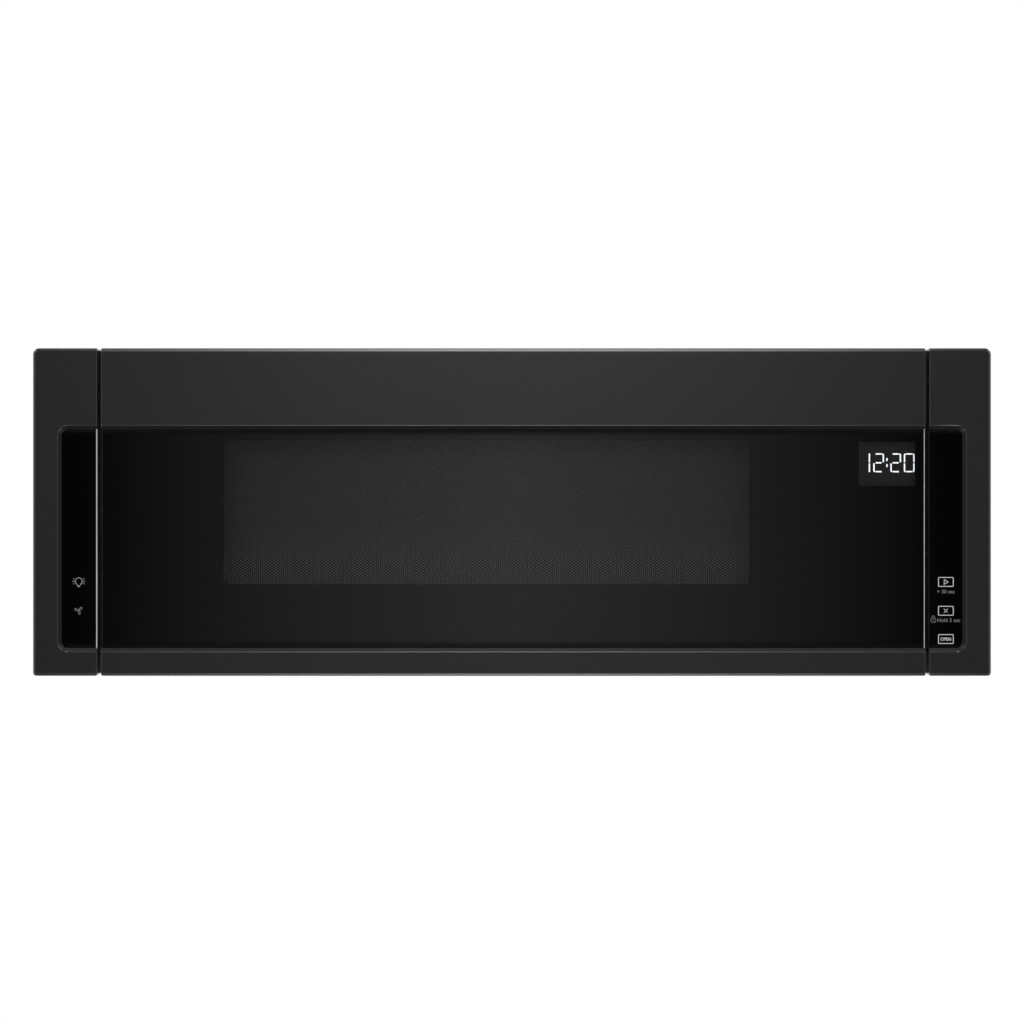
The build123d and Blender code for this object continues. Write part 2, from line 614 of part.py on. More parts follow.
BACK_PRESS_X = (150.0, 352.0)
BACK_PRESS_Z = (138.0, 240.0)
BACK_PRESSING = 1.6
with BuildPart() as back_panel:
    with BuildSketch(across(-HALF_WIDTH + SHEET)):
        panel((BACK_UPPER, BACK_UPPER + SHEET), (BACK_STEP - SHEET, TOP_UNDER))
        panel((BACK_LOWER, BACK_UPPER + SHEET), (BACK_STEP - SHEET, BACK_STEP))
        panel((BACK_LOWER, BACK_LOWER + SHEET), (SHEET, BACK_STEP))
    extrude(amount=WIDTH - 2 * SHEET)
    # two broad panels pressed forward stiffen the upper part
    with BuildSketch(facing(BACK_UPPER)):
        for press_x in both_sides(BACK_PRESS_X):
            panel(press_x, BACK_PRESS_Z, 14)
    extrude(amount=BACK_PRESSING)
    with BuildSketch(facing(BACK_UPPER + SHEET)):
        for press_x in both_sides(grown(BACK_PRESS_X, -SHEET)):
            panel(press_x, grown(BACK_PRESS_Z, -SHEET), 14 - SHEET)
    extrude(amount=BACK_PRESSING, mode=Mode.SUBTRACT)
    # slots for the wall plate's hooks
    with BuildSketch(facing(BACK_LOWER + SHEET)):
        with Locations((0, 96)):
            with GridLocations(360, 0, 2, 1):
                Rectangle(44, 18)
    extrude(amount=SHEET, mode=Mode.SUBTRACT)
save(back_panel.part, "back_panel")

with BuildPart() as top_panel:
    with BuildSketch(level(TOP_UNDER)):
        panel((-HALF_WIDTH + SHEET, HALF_WIDTH - SHEET), (PLATE_FRONT, BACK_UPPER + SHEET))
        panel((-230, 230), (-150, -96), 3, mode=Mode.SUBTRACT)
        panel((-DUCT_X - 1.3, DUCT_X + 1.3), grown(DUCT_Y, 1.3), mode=Mode.SUBTRACT)
        with Locations((CORD_X, CORD_Y)):
            Circle(CORD_HOLE, mode=Mode.SUBTRACT)
    extrude(amount=SHEET)
    # the two weld nuts that take the cabinet bolts
    with BuildSketch(level(TOP_UNDER - 8)):
        with GridLocations(2 * CABINET_HOLES_X, 0, 2, 1):
            with Locations((0, CABINET_HOLES_Y)):
                RegularPolygon(9, 6)
    extrude(amount=8)
    with BuildSketch(level(TOP_UNDER - 8)):
        with GridLocations(2 * CABINET_HOLES_X, 0, 2, 1):
            with Locations((0, CABINET_HOLES_Y)):
                Circle(CABINET_HOLE)
    extrude(amount=8 + SHEET, mode=Mode.SUBTRACT)
save(top_panel.part, "top_panel")

with BuildPart() as wall_plate:
    with BuildSketch(facing(BACK)):
        panel((-330, 330), (4, 110), 4)
        with Locations((0, sum(WALL_HOLES_Z) / 2)):
            with GridLocations(2 * WALL_HOLES_X, WALL_HOLES_Z[1] - WALL_HOLES_Z[0], 2, 2):
                Circle(WALL_HOLE, mode=Mode.SUBTRACT)
            with GridLocations(80, 0, 3, 1):
                SlotOverall(50, 8, mode=Mode.SUBTRACT)
            with GridLocations(560, 40, 2, 2):
                SlotOverall(24, 7, mode=Mode.SUBTRACT)
    extrude(amount=1.5)
    # hooks that the oven hangs on
    for middle in (-180, 180):
        with BuildSketch(across(middle - 18)):
            panel((BACK_LOWER - 5, BACK - 1.5), (89.5, 91))
            panel((BACK_LOWER - 5, BACK_LOWER - 3.5), (89.5, 100))
        extrude(amount=36)
save(wall_plate.part, "wall_plate")

# ---- the oven cavity ----------------------------------------------------------------------
GUIDE_Y = (-60.0, 20.0)
GUIDE_Z = (105.0, 185.0)
with BuildPart() as cavity_liner:
    with BuildSketch(facing(CAVITY_Y[1])):
        panel(grown(CAVITY_X, LINER), grown(CAVITY_Z, LINER), CAVITY_CORNER + LINER)
    extrude(amount=CAVITY_Y[1] - CAVITY_Y[0])
    with BuildSketch(facing(CAVITY_Y[0] + LINER)):
        panel(grown(CAVITY_X, 10), (34, 224), 12)
    extrude(amount=LINER)
    with BuildSketch(level(DISH_FLOOR - LINER)):
        with Locations((TURN_X, TURN_Y)):
            Circle(DISH_RADIUS + LINER)
    extrude(amount=CAVITY_Z[0] - DISH_FLOOR)
    with BuildSketch(facing(CAVITY_Y[1])):
        panel(CAVITY_X, CAVITY_Z, CAVITY_CORNER)
    extrude(amount=CAVITY_Y[1] - CAVITY_Y[0], mode=Mode.SUBTRACT)
    with BuildSketch(level(DISH_FLOOR)):
        with Locations((TURN_X, TURN_Y)):
            Circle(DISH_RADIUS)
    extrude(amount=CAVITY_Z[0] - DISH_FLOOR, mode=Mode.SUBTRACT)
    with BuildSketch(level(DISH_FLOOR - LINER)):
        with Locations((TURN_X, TURN_Y)):
            Circle(8)
    extrude(amount=LINER, mode=Mode.SUBTRACT)
    # the openings for the microwaves, on the right, and for the lamp, on the left
    with BuildSketch(across(CAVITY_X[1])):
        panel(GUIDE_Y, GUIDE_Z, 6)
    extrude(amount=LINER, mode=Mode.SUBTRACT)
    with BuildSketch(across(CAVITY_X[0] - LINER)):
        with Locations((-100, 190)):
            Circle(14)
    extrude(amount=LINER, mode=Mode.SUBTRACT)
save(cavity_liner.part, "cavity_liner")

OVEN_PRESSING = 2.0
with BuildPart() as cavity_back:
    with BuildSketch(facing(CAVITY_Y[1] + LINER)):
        panel(grown(CAVITY_X, 6), (38, 221), 10)
    extrude(amount=LINER)
    # one broad panel pressed forward, into the oven, stiffens it
    with BuildSketch(facing(CAVITY_Y[1])):
        panel(grown(CAVITY_X, -40), grown(CAVITY_Z, -35), 12)
    extrude(amount=OVEN_PRESSING)
    with BuildSketch(facing(CAVITY_Y[1] + LINER)):
        panel(grown(CAVITY_X, -40 - LINER), grown(CAVITY_Z, -35 - LINER), 12 - LINER)
    extrude(amount=OVEN_PRESSING, mode=Mode.SUBTRACT)
save(cavity_back.part, "cavity_back")

GUIDE_BACK = CAVITY_X[1] + LINER
GUIDE_END = GUIDE_BACK + 41
with BuildPart() as waveguide:
    with BuildSketch(across(GUIDE_BACK)):
        panel(grown(GUIDE_Y, 10), grown(GUIDE_Z, 5), 3)
    extrude(amount=GUIDE_END - GUIDE_BACK)
    with BuildSketch(across(GUIDE_BACK)):
        panel(grown(GUIDE_Y, 20), grown(GUIDE_Z, 15), 4)
    extrude(amount=SHEET)
    with BuildSketch(across(GUIDE_BACK)):
        panel(grown(GUIDE_Y, 9), grown(GUIDE_Z, 4), 2)
    extrude(amount=GUIDE_END - GUIDE_BACK - SHEET, mode=Mode.SUBTRACT)
    with BuildSketch(across(GUIDE_END - SHEET)):
        with Locations((sum(GUIDE_Y) / 2, sum(GUIDE_Z) / 2)):
            Circle(14)
    extrude(amount=SHEET, mode=Mode.SUBTRACT)
save(waveguide.part, "waveguide")

with BuildPart() as waveguide_cover:
    with BuildSketch(across(CAVITY_X[1] - 0.8)):
        panel(grown(GUIDE_Y, 7), grown(GUIDE_Z, 6), 6)
    extrude(amount=0.8)
save(waveguide_cover.part, "waveguide_cover")

MAGNETRON_Y = sum(GUIDE_Y) / 2
MAGNETRON_Z = sum(GUIDE_Z) / 2
FINS = 7
with BuildPart() as magnetron:
    with BuildSketch(across(GUIDE_END)):
        panel((MAGNETRON_Y - 46, MAGNETRON_Y + 46), (MAGNETRON_Z - 38, MAGNETRON_Z + 38), 3)
        with Locations((MAGNETRON_Y, MAGNETRON_Z)):
            with GridLocations(82, 60, 2, 2):
                Circle(2.5, mode=Mode.SUBTRACT)
    extrude(amount=2)
    with BuildSketch(across(GUIDE_END - 22)):
        with Locations((MAGNETRON_Y, MAGNETRON_Z)):
            Circle(9)
    extrude(amount=84)
    with BuildSketch(across(GUIDE_END + 8)):
        with Locations((MAGNETRON_Y, MAGNETRON_Z)):
            Circle(20)
    extrude(amount=54)
    for fin in range(FINS):
        with BuildSketch(across(GUIDE_END + 12 + 7 * fin)):
            panel((MAGNETRON_Y - 40, MAGNETRON_Y + 40), (MAGNETRON_Z - 28, MAGNETRON_Z + 28))
        extrude(amount=1)
    # the yoke round the fins, open to the cooling air at front and back
    with BuildSketch(across(GUIDE_END + 2)):
        panel((MAGNETRON_Y - 40, MAGNETRON_Y + 40), (MAGNETRON_Z - 32, MAGNETRON_Z + 32), 3)
    extrude(amount=66)
    with BuildSketch(facing(MAGNETRON_Y + 41)):
        panel((GUIDE_END + 4, GUIDE_END + 66), (MAGNETRON_Z - 29, MAGNETRON_Z + 29))
    extrude(amount=82, mode=Mode.SUBTRACT)
    with BuildSketch(across(GUIDE_END + 2)):
        with Locations((MAGNETRON_Y, MAGNETRON_Z)):
            Circle(20)
    extrude(amount=66)
    for fin in range(FINS):
        with BuildSketch(across(GUIDE_END + 12 + 7 * fin)):
            panel((MAGNETRON_Y - 40, MAGNETRON_Y + 40), (MAGNETRON_Z - 29, MAGNETRON_Z + 29))
        extrude(amount=1)
    with BuildSketch(across(GUIDE_END + 68)):
        panel((MAGNETRON_Y - 26, MAGNETRON_Y + 26), (MAGNETRON_Z - 22, MAGNETRON_Z + 22), 4)
    extrude(amount=18)
save(magnetron.part, "magnetron")

with BuildPart() as power_transformer:
    with BuildSketch(level(SHEET)):
        panel((248, 362), (-182, -98), 4)
    extrude(amount=2)
    with BuildSketch(facing(-112)):
        panel((262, 348), (3, 75))
        panel((276, 294), (17, 61), mode=Mode.SUBTRACT)
        panel((316, 334), (17, 61), mode=Mode.SUBTRACT)
    extrude(amount=56)
    # the two windings round the middle limb
    for winding in ((18, 36), (40, 60)):
        with BuildSketch(level(winding[0])):
            panel((277, 333), (-181, -99), 12)
            panel((294, 316), (-168, -112), mode=Mode.SUBTRACT)
        extrude(amount=winding[1] - winding[0])
save(power_transformer.part, "power_transformer")

with BuildPart() as high_voltage_capacitor:
    with BuildSketch(level(SHEET)):
        with Locations((300, 160)):
            SlotOverall(56, 34)
    extrude(amount=96)
    with BuildSketch(level(SHEET + 96)):
        with Locations((300, 160)):
            with GridLocations(24, 0, 2, 1):
                Circle(4)
    extrude(amount=8)
save(high_voltage_capacitor.part, "high_voltage_capacitor")

BOARD_X = -368.0
with BuildPart() as power_board:
    with BuildSketch(across(BOARD_X)):
        panel((-160, -10), (60, 205), 3)
        with Locations((-85, 132.5)):
            with GridLocations(138, 133, 2, 2):
                Circle(1.8, mode=Mode.SUBTRACT)
    extrude(amount=1.6)
    with BuildSketch(across(BOARD_X + 1.6)):
        with Locations((-130, 100)):
            with GridLocations(0, 24, 1, 4):
                Rectangle(28, 18)
        panel((-100, -62), (64, 100))
    extrude(amount=18)
    with BuildSketch(across(BOARD_X + 1.6)):
        with Locations((-60, 160)):
            with GridLocations(20, 24, 2, 2):
                Circle(8)
    extrude(amount=24)
    with BuildSketch(across(BOARD_X + 1.6)):
        panel((-44, -20), (66, 130))
    extrude(amount=4)
    with BuildSketch(across(BOARD_X + 5.6)):
        with Locations((-32, 98)):
            with GridLocations(0, 8, 1, 8):
                Rectangle(24, 1.5)
    extrude(amount=20)
    # stand-offs to the side panel
    with BuildSketch(across(-HALF_WIDTH + SHEET)):
        with Locations((-85, 132.5)):
            with GridLocations(120, 115, 2, 2):
                Circle(4)
    extrude(amount=BOARD_X + HALF_WIDTH - SHEET)
save(power_board.part, "power_board")

with BuildPart() as cavity_lamp:
    with BuildSketch(across(CAVITY_X[0] - LINER - 1.5)):
        with Locations((-100, 190)):
            RectangleRounded(44, 36, 4)
    extrude(amount=1.5)
    with BuildSketch(across(CAVITY_X[0] - LINER)):
        with Locations((-100, 190)):
            Circle(13.7)
    extrude(amount=LINER)
    with BuildSketch(across(CAVITY_X[0] - LINER - 1.5 - 26)):
        with Locations((-100, 190)):
            Circle(12)
    extrude(amount=26)
save(cavity_lamp.part, "cavity_lamp")

# ---- the turntable ------------------------------------------------------------------------
with BuildPart() as turntable_motor:
    with BuildSketch(level(DISH_FLOOR - LINER - 17)):
        with Locations((TURN_X, TURN_Y)):
            Circle(24)
    extrude(amount=16)
    with BuildSketch(level(DISH_FLOOR - LINER - 1)):
        with Locations((TURN_X, TURN_Y)):
            SlotOverall(66, 14)
            Circle(24)
    extrude(amount=1)
    with BuildSketch(level(DISH_FLOOR - LINER)):
        with Locations((TURN_X, TURN_Y)):
            Circle(3)
    extrude(amount=7)
save(turntable_motor.part, "turntable_motor")

ARMS = 3
with BuildPart() as turntable_coupler:
    with BuildSketch(level(DISH_FLOOR - LINER + 0.4)):
        with Locations((TURN_X, TURN_Y)):
            Circle(6)
    extrude(amount=COUPLER_TOP - DISH_FLOOR + LINER - 0.4)
    with BuildSketch(level(COUPLER_TOP - 6)):
        with Locations((TURN_X, TURN_Y)):
            Circle(9)
            with PolarLocations(12, ARMS):
                SlotOverall(20, 8)
    extrude(amount=6)
    with BuildSketch(level(DISH_FLOOR - LINER + 0.4)):
        with Locations((TURN_X, TURN_Y)):
            Circle(3.06)
    extrude(amount=7.6, mode=Mode.SUBTRACT)
save(turntable_coupler.part, "turntable_coupler")

with BuildPart() as roller_ring:
    ring_low = ROLLER_Z - 2.5
    with BuildSketch(level(ring_low)):
        with Locations((TURN_X, TURN_Y)):
            Circle(92)
            Circle(84, mode=Mode.SUBTRACT)
    extrude(amount=5)
    # three arms reach out past the rollers, each with an axle
    with BuildSketch(level(ring_low)):
        with Locations((TURN_X, TURN_Y)):
            with PolarLocations(102, 3):
                RectangleRounded(28, 26, 3)
            Circle(88, mode=Mode.SUBTRACT)
            with PolarLocations(ROLLER_ORBIT, 3):
                Rectangle(ROLLER_WIDTH + 0.8, 2 * ROLLER_RADIUS + 2, mode=Mode.SUBTRACT)
    extrude(amount=5)
    for spoke in range(3):
        angle = 120 * spoke
        axle = Plane(
            origin=(TURN_X, TURN_Y, ROLLER_Z),
            x_dir=(0, 0, 1),
            z_dir=(cos(radians(angle)), sin(radians(angle)), 0),
        )
        with BuildSketch(axle.offset(ROLLER_ORBIT - ROLLER_WIDTH / 2 - 2)):
            Circle(1.5)
        extrude(amount=ROLLER_WIDTH + 4)
save(roller_ring.part, "roller_ring")

for spoke in range(3):
    angle = 120 * spoke
    axle = Plane(
        origin=(TURN_X, TURN_Y, ROLLER_Z),
        x_dir=(0, 0, 1),
        z_dir=(cos(radians(angle)), sin(radians(angle)), 0),
    )
    with BuildPart() as roller:
        with BuildSketch(axle.offset(ROLLER_ORBIT - ROLLER_WIDTH / 2)):
            Circle(ROLLER_RADIUS)
            Circle(1.56, mode=Mode.SUBTRACT)
        extrude(amount=ROLLER_WIDTH)
        with BuildSketch(axle.offset(ROLLER_ORBIT - ROLLER_WIDTH / 2)):
            Circle(5.5)
            Circle(3, mode=Mode.SUBTRACT)
        extrude(amount=2, mode=Mode.SUBTRACT)
        with BuildSketch(axle.offset(ROLLER_ORBIT + ROLLER_WIDTH / 2 - 2)):
            Circle(5.5)
            Circle(3, mode=Mode.SUBTRACT)
        extrude(amount=2, mode=Mode.SUBTRACT)
    save(roller.part, f"roller_{spoke + 1}")

with BuildPart() as turntable_plate:
    with BuildSketch(Plane.XZ.offset(-TURN_Y)):
        with BuildLine():
            floor = Line((TURN_X, PLATE_UNDER), (TURN_X + 128, PLATE_UNDER))
            rise = SagittaArc(floor @ 1, (TURN_X + PLATE_RADIUS - 1, PLATE_UNDER + 13), -2.5)
            lip = Line(rise @ 1, (TURN_X + PLATE_RADIUS, PLATE_UNDER + 15))
            rim = Line(lip @ 1, (TURN_X + PLATE_RADIUS - 4, PLATE_UNDER + 15))
            fall = SagittaArc(rim @ 1, (TURN_X + 127, PLATE_UNDER + 4.5), 2.5)
            top = Line(fall @ 1, (TURN_X, PLATE_UNDER + 4.5))
            Line(top @ 1, floor @ 0)
        make_face()
    revolve(axis=Axis((TURN_X, TURN_Y, 0), (0, 0, 1)))
    # the lugs under the middle that the coupler's arms turn
    with BuildSketch(level(PLATE_UNDER - 4)):
        with Locations((TURN_X, TURN_Y)):
            with PolarLocations(15, ARMS, start_angle=60):
                Circle(3.5)
    extrude(amount=4)
save(turntable_plate.part, "turntable_plate")

# ---- the vent blower ----------------------------------------------------------------------
# Each casing is a scroll that widens from its tongue round to the outlet at the top. The
# outline is drawn from the wheel's axis, with the wall's inner face on the arcs.
def scroll(wall):
    """The outline of a casing, grown outwards by the thickness of the wall."""
    right = 39.3 + wall
    left = -37.0 - wall
    tongue = (-5.0, 34.6 + wall)
    top = CASING_TOP - BLOWER_Z
    with BuildLine(mode=Mode.PRIVATE) as outline:
        Line((right, top), (right, 0))
        ThreePointArc((right, 0), ((right + left) / 2, (left - right) / 2), (left, 0))
        RadiusArc((left, 0), tongue, 35.8 + wall)
        Polyline(tongue, (-9.5 - wall, 37.6 + wall), (-40.8 - wall, top - 4), (-40.8 - wall, top))
        Line((-40.8 - wall, top), (right, top))
    return outline


with BuildSketch() as casing_outside:
    with BuildLine():
        add(scroll(CASING_WALL).line)
    make_face()

with BuildSketch() as casing_inside:
    with BuildLine():
        add(scroll(0.0).line)
    make_face()

with BuildPart() as blower_housing:
    for casing in both_sides(CASING_X):
        inlet = casing[0] if casing[0] < 0 else casing[1] - CASING_WALL
        motor_side = casing[1] - CASING_WALL if casing[0] < 0 else casing[0]
        with BuildSketch(across(casing[0])):
            with Locations((BLOWER_Y, BLOWER_Z)):
                add(casing_outside.sketch)
        extrude(amount=casing[1] - casing[0])
        with BuildSketch(across(casing[0] + CASING_WALL)):
            with Locations((BLOWER_Y, BLOWER_Z)):
                add(casing_inside.sketch)
        extrude(amount=casing[1] - casing[0] - 2 * CASING_WALL, mode=Mode.SUBTRACT)
        with BuildSketch(across(inlet)):
            with Locations((BLOWER_Y, BLOWER_Z)):
                Circle(WHEEL_INNER + 1)
        extrude(amount=CASING_WALL, mode=Mode.SUBTRACT)
        with BuildSketch(across(motor_side)):
            with Locations((BLOWER_Y, BLOWER_Z)):
                Circle(10)
        extrude(amount=CASING_WALL, mode=Mode.SUBTRACT)
    # the bridge that joins the casings over the motor
    with BuildSketch(level(CASING_TOP - 20)):
        panel((-CASING_X[0], CASING_X[0]), (BLOWER_Y - 20, BLOWER_Y + 20))
    extrude(amount=CASING_WALL)
save(blower_housing.part, "blower_housing")

with BuildPart() as blower_motor:
    with BuildSketch(across(-42)):
        with Locations((BLOWER_Y, BLOWER_Z)):
            Circle(27)
    extrude(amount=84)
    fillet(edges().filter_by(GeomType.CIRCLE), 3)
    with BuildSketch(across(-50)):
        with Locations((BLOWER_Y, BLOWER_Z)):
            Circle(8)
    extrude(amount=100)
    with BuildSketch(across(-50)):
        with Locations((BLOWER_Y, BLOWER_Z)):
            Circle(4.08)
    extrude(amount=100, mode=Mode.SUBTRACT)
    # two straps carry it on the back panel
    for strap in ((-30, -18), (18, 30)):
        with BuildSketch(across(strap[0])):
            with Locations((BLOWER_Y, BLOWER_Z)):
                Circle(28.5)
                Circle(26.9, mode=Mode.SUBTRACT)
            panel((BLOWER_Y + 26, BACK_UPPER), (BLOWER_Z - 4, BLOWER_Z + 4))
            panel((BACK_UPPER - 1.5, BACK_UPPER), (BLOWER_Z - 24, BLOWER_Z + 24))
        extrude(amount=strap[1] - strap[0])
save(blower_motor.part, "blower_motor")

# A forward-curved blade: two arcs close together between the wheel's inner and outer radius,
# leaning the way the wheel turns.
BLADE = 0.9
BLADE_LEAN = 9.0
with BuildSketch() as blade:
    with BuildLine():
        inner_low = Vector(WHEEL_INNER + 0.3, 0)
        outer_low = Vector(WHEEL_RADIUS - 0.4, 0).rotate(Axis.Z, BLADE_LEAN)
        inner_high = inner_low + Vector(0, BLADE)
        outer_high = Vector(WHEEL_RADIUS - 0.4, 0).rotate(Axis.Z, BLADE_LEAN + 1.7)
        RadiusArc(inner_low, outer_low, -8.0)
        Line(outer_low, outer_high)
        RadiusArc(outer_high, inner_high, 7.2)
        Line(inner_high, inner_low)
    make_face()

with BuildPart() as blower_wheels:
    with BuildSketch(across(-WHEEL_X[1] - 2)):
        with Locations((BLOWER_Y, BLOWER_Z)):
            Circle(4)
    extrude(amount=2 * WHEEL_X[1] + 4)
    for wheel in both_sides(WHEEL_X):
        web = wheel[1] - 1.5 if wheel[0] < 0 else wheel[0]
        ring = wheel[0] if wheel[0] < 0 else wheel[1] - 2
        hub = wheel[1] - 14 if wheel[0] < 0 else wheel[0]
        with BuildSketch(across(wheel[0])):
            with Locations((BLOWER_Y, BLOWER_Z)):
                with PolarLocations(0, BLADES):
                    add(blade.sketch)
        extrude(amount=wheel[1] - wheel[0])
        with BuildSketch(across(web)):
            with Locations((BLOWER_Y, BLOWER_Z)):
                Circle(WHEEL_RADIUS)
        extrude(amount=1.5)
        with BuildSketch(across(ring)):
            with Locations((BLOWER_Y, BLOWER_Z)):
                Circle(WHEEL_RADIUS)
                Circle(WHEEL_RADIUS - 2, mode=Mode.SUBTRACT)
        extrude(amount=2)
        with BuildSketch(across(hub)):
            with Locations((BLOWER_Y, BLOWER_Z)):
                Circle(8)
        extrude(amount=14)
save(blower_wheels.part, "blower_wheels")

# ---- the duct at the top ------------------------------------------------------------------
FLAP_HINGE_Y = DUCT_Y[1] - 4
FLAP_PIN = 1.5
with BuildPart() as duct_collar:
    with BuildSketch(level(CASING_TOP)):
        panel((-DUCT_X - 1, DUCT_X + 1), grown(DUCT_Y, 1))
        panel((-DUCT_X, DUCT_X), DUCT_Y, mode=Mode.SUBTRACT)
    extrude(amount=HEIGHT - CASING_TOP)
    with BuildSketch(level(CASING_TOP)):
        panel((-CASING_X[0], CASING_X[0]), DUCT_Y)
    extrude(amount=1)
    # a ledge that the flap closes on, at the front and along both sides
    with BuildSketch(level(FLAP_Z - 3)):
        panel((-DUCT_X, DUCT_X), DUCT_Y)
        panel((-DUCT_X + 3, DUCT_X - 3), (DUCT_Y[0] + 3, DUCT_Y[1] + 1), mode=Mode.SUBTRACT)
    extrude(amount=1.5)
    with BuildSketch(across(-DUCT_X - 1)):
        with Locations((FLAP_HINGE_Y, FLAP_Z)):
            Circle(FLAP_PIN + 0.08)
    extrude(amount=2 * DUCT_X + 2, mode=Mode.SUBTRACT)
save(duct_collar.part, "duct_collar")

with BuildPart() as damper_flap:
    with BuildSketch(level(FLAP_Z - 0.6)):
        panel((-DUCT_X + 1, DUCT_X - 1), (DUCT_Y[0] + 1, FLAP_HINGE_Y))
    extrude(amount=1.2)
    # pressed ribs along the flap
    with BuildSketch(level(FLAP_Z)):
        with Locations((0, (DUCT_Y[0] + FLAP_HINGE_Y) / 2)):
            with GridLocations(0, 22, 1, 3):
                RectangleRounded(220, 4, 1.9)
    extrude(amount=1.8)
    with BuildSketch(across(-DUCT_X - 1)):
        with Locations((FLAP_HINGE_Y, FLAP_Z)):
            Circle(FLAP_PIN)
    extrude(amount=2 * DUCT_X + 2)
save(damper_flap.part, "damper_flap")

# ---- the cooling fan ----------------------------------------------------------------------
SHROUD_Y = (56.0, 58.0)
with BuildPart() as cooling_fan_motor:
    with BuildSketch(facing(SHROUD_Y[1])):
        panel((246, 376), (14, 236), 3)
        with Locations((FAN_X, FAN_Z)):
            Circle(FAN_RADIUS + 3, mode=Mode.SUBTRACT)
    extrude(amount=SHROUD_Y[1] - SHROUD_Y[0])
    # a short bell mouth round the blades
    with BuildSketch(facing(SHROUD_Y[1] + 12)):
        with Locations((FAN_X, FAN_Z)):
            Circle(FAN_RADIUS + 4.5)
            Circle(FAN_RADIUS + 3, mode=Mode.SUBTRACT)
    extrude(amount=12)
    with BuildSketch(facing(116)):
        with Locations((FAN_X, FAN_Z)):
            Circle(22)
    extrude(amount=28)
    # three legs from the motor to the shroud
    with BuildSketch(facing(92)):
        with Locations((FAN_X, FAN_Z)):
            with PolarLocations(36, 3, start_angle=90):
                Rectangle(34, 8)
    extrude(amount=3)
    with BuildSketch(facing(92)):
        with Locations((FAN_X, FAN_Z)):
            with PolarLocations(52, 3, start_angle=90):
                Rectangle(5, 8)
    extrude(amount=92 - SHROUD_Y[1])
    with BuildSketch(facing(116)):
        with Locations((FAN_X, FAN_Z)):
            Circle(3.08)
    extrude(amount=60, mode=Mode.SUBTRACT)
save(cooling_fan_motor.part, "cooling_fan_motor")

FAN_BLADES = 7
with BuildPart() as cooling_fan:
    with BuildSketch(facing(84)):
        with Locations((FAN_X, FAN_Z)):
            Circle(13)
    extrude(amount=24)
    fillet(faces().sort_by(Axis.Y)[0].edges(), 4)
    with BuildSketch(facing(112)):
        with Locations((FAN_X, FAN_Z)):
            Circle(3)
    extrude(amount=29)
    for step in range(FAN_BLADES):
        angle = radians(360 / FAN_BLADES * step)
        root = Plane(
            origin=(FAN_X + 11 * cos(angle), 72, FAN_Z + 11 * sin(angle)),
            x_dir=(0, 1, 0),
            z_dir=(cos(angle), 0, sin(angle)),
        )
        with BuildSketch(root):
            Rectangle(13, 1.4, rotation=50)
        with BuildSketch(root.offset(FAN_RADIUS - 11)):
            Rectangle(24, 1.4, rotation=28)
        loft()
save(cooling_fan.part, "cooling_fan")

# ---- the top: grille, charcoal filter and cord grommet --------------------------------------
GRILLE_X = 229.6
GRILLE_Y = (-149.6, -96.4)
with BuildPart() as vent_grille:
    with BuildSketch(level(TOP_UNDER - 2)):
        panel((-GRILLE_X - 6, GRILLE_X + 6), grown(GRILLE_Y, 6), 4)
    extrude(amount=2)
    with BuildSketch(level(TOP_UNDER)):
        panel((-GRILLE_X, GRILLE_X), GRILLE_Y, 2.6)
    extrude(amount=SHEET)
    with BuildSketch(level(TOP_UNDER - 2)):
        with Locations((0, sum(GRILLE_Y) / 2)):
            with GridLocations(11, 0, 40, 1):
                Rectangle(6.5, 44)
    extrude(amount=2 + SHEET, mode=Mode.SUBTRACT)
save(vent_grille.part, "vent_grille")

with BuildPart() as charcoal_filter:
    with BuildSketch(level(TOP_UNDER - 17)):
        panel((-GRILLE_X + 2, GRILLE_X - 2), GRILLE_Y, 3)
    extrude(amount=15)
    with BuildSketch(level(TOP_UNDER - 17)):
        with Locations((0, sum(GRILLE_Y) / 2)):
            with GridLocations(22, 0, 20, 1):
                Rectangle(18, 46)
    extrude(amount=2, mode=Mode.SUBTRACT)
save(charcoal_filter.part, "charcoal_filter")

with BuildPart() as cord_grommet:
    with BuildSketch(Plane.XZ.offset(-CORD_Y)):
        with BuildLine():
            Polyline(
                (CORD_X + 10, TOP_UNDER - 4),
                (CORD_X + 18, TOP_UNDER - 4),
                (CORD_X + 18, TOP_UNDER),
                (CORD_X + CORD_HOLE, TOP_UNDER),
                (CORD_X + CORD_HOLE, HEIGHT),
                (CORD_X + 10, HEIGHT),
                close=True,
            )
        make_face()
    revolve(axis=Axis((CORD_X, CORD_Y, 0), (0, 0, 1)))
save(cord_grommet.part, "cord_grommet")

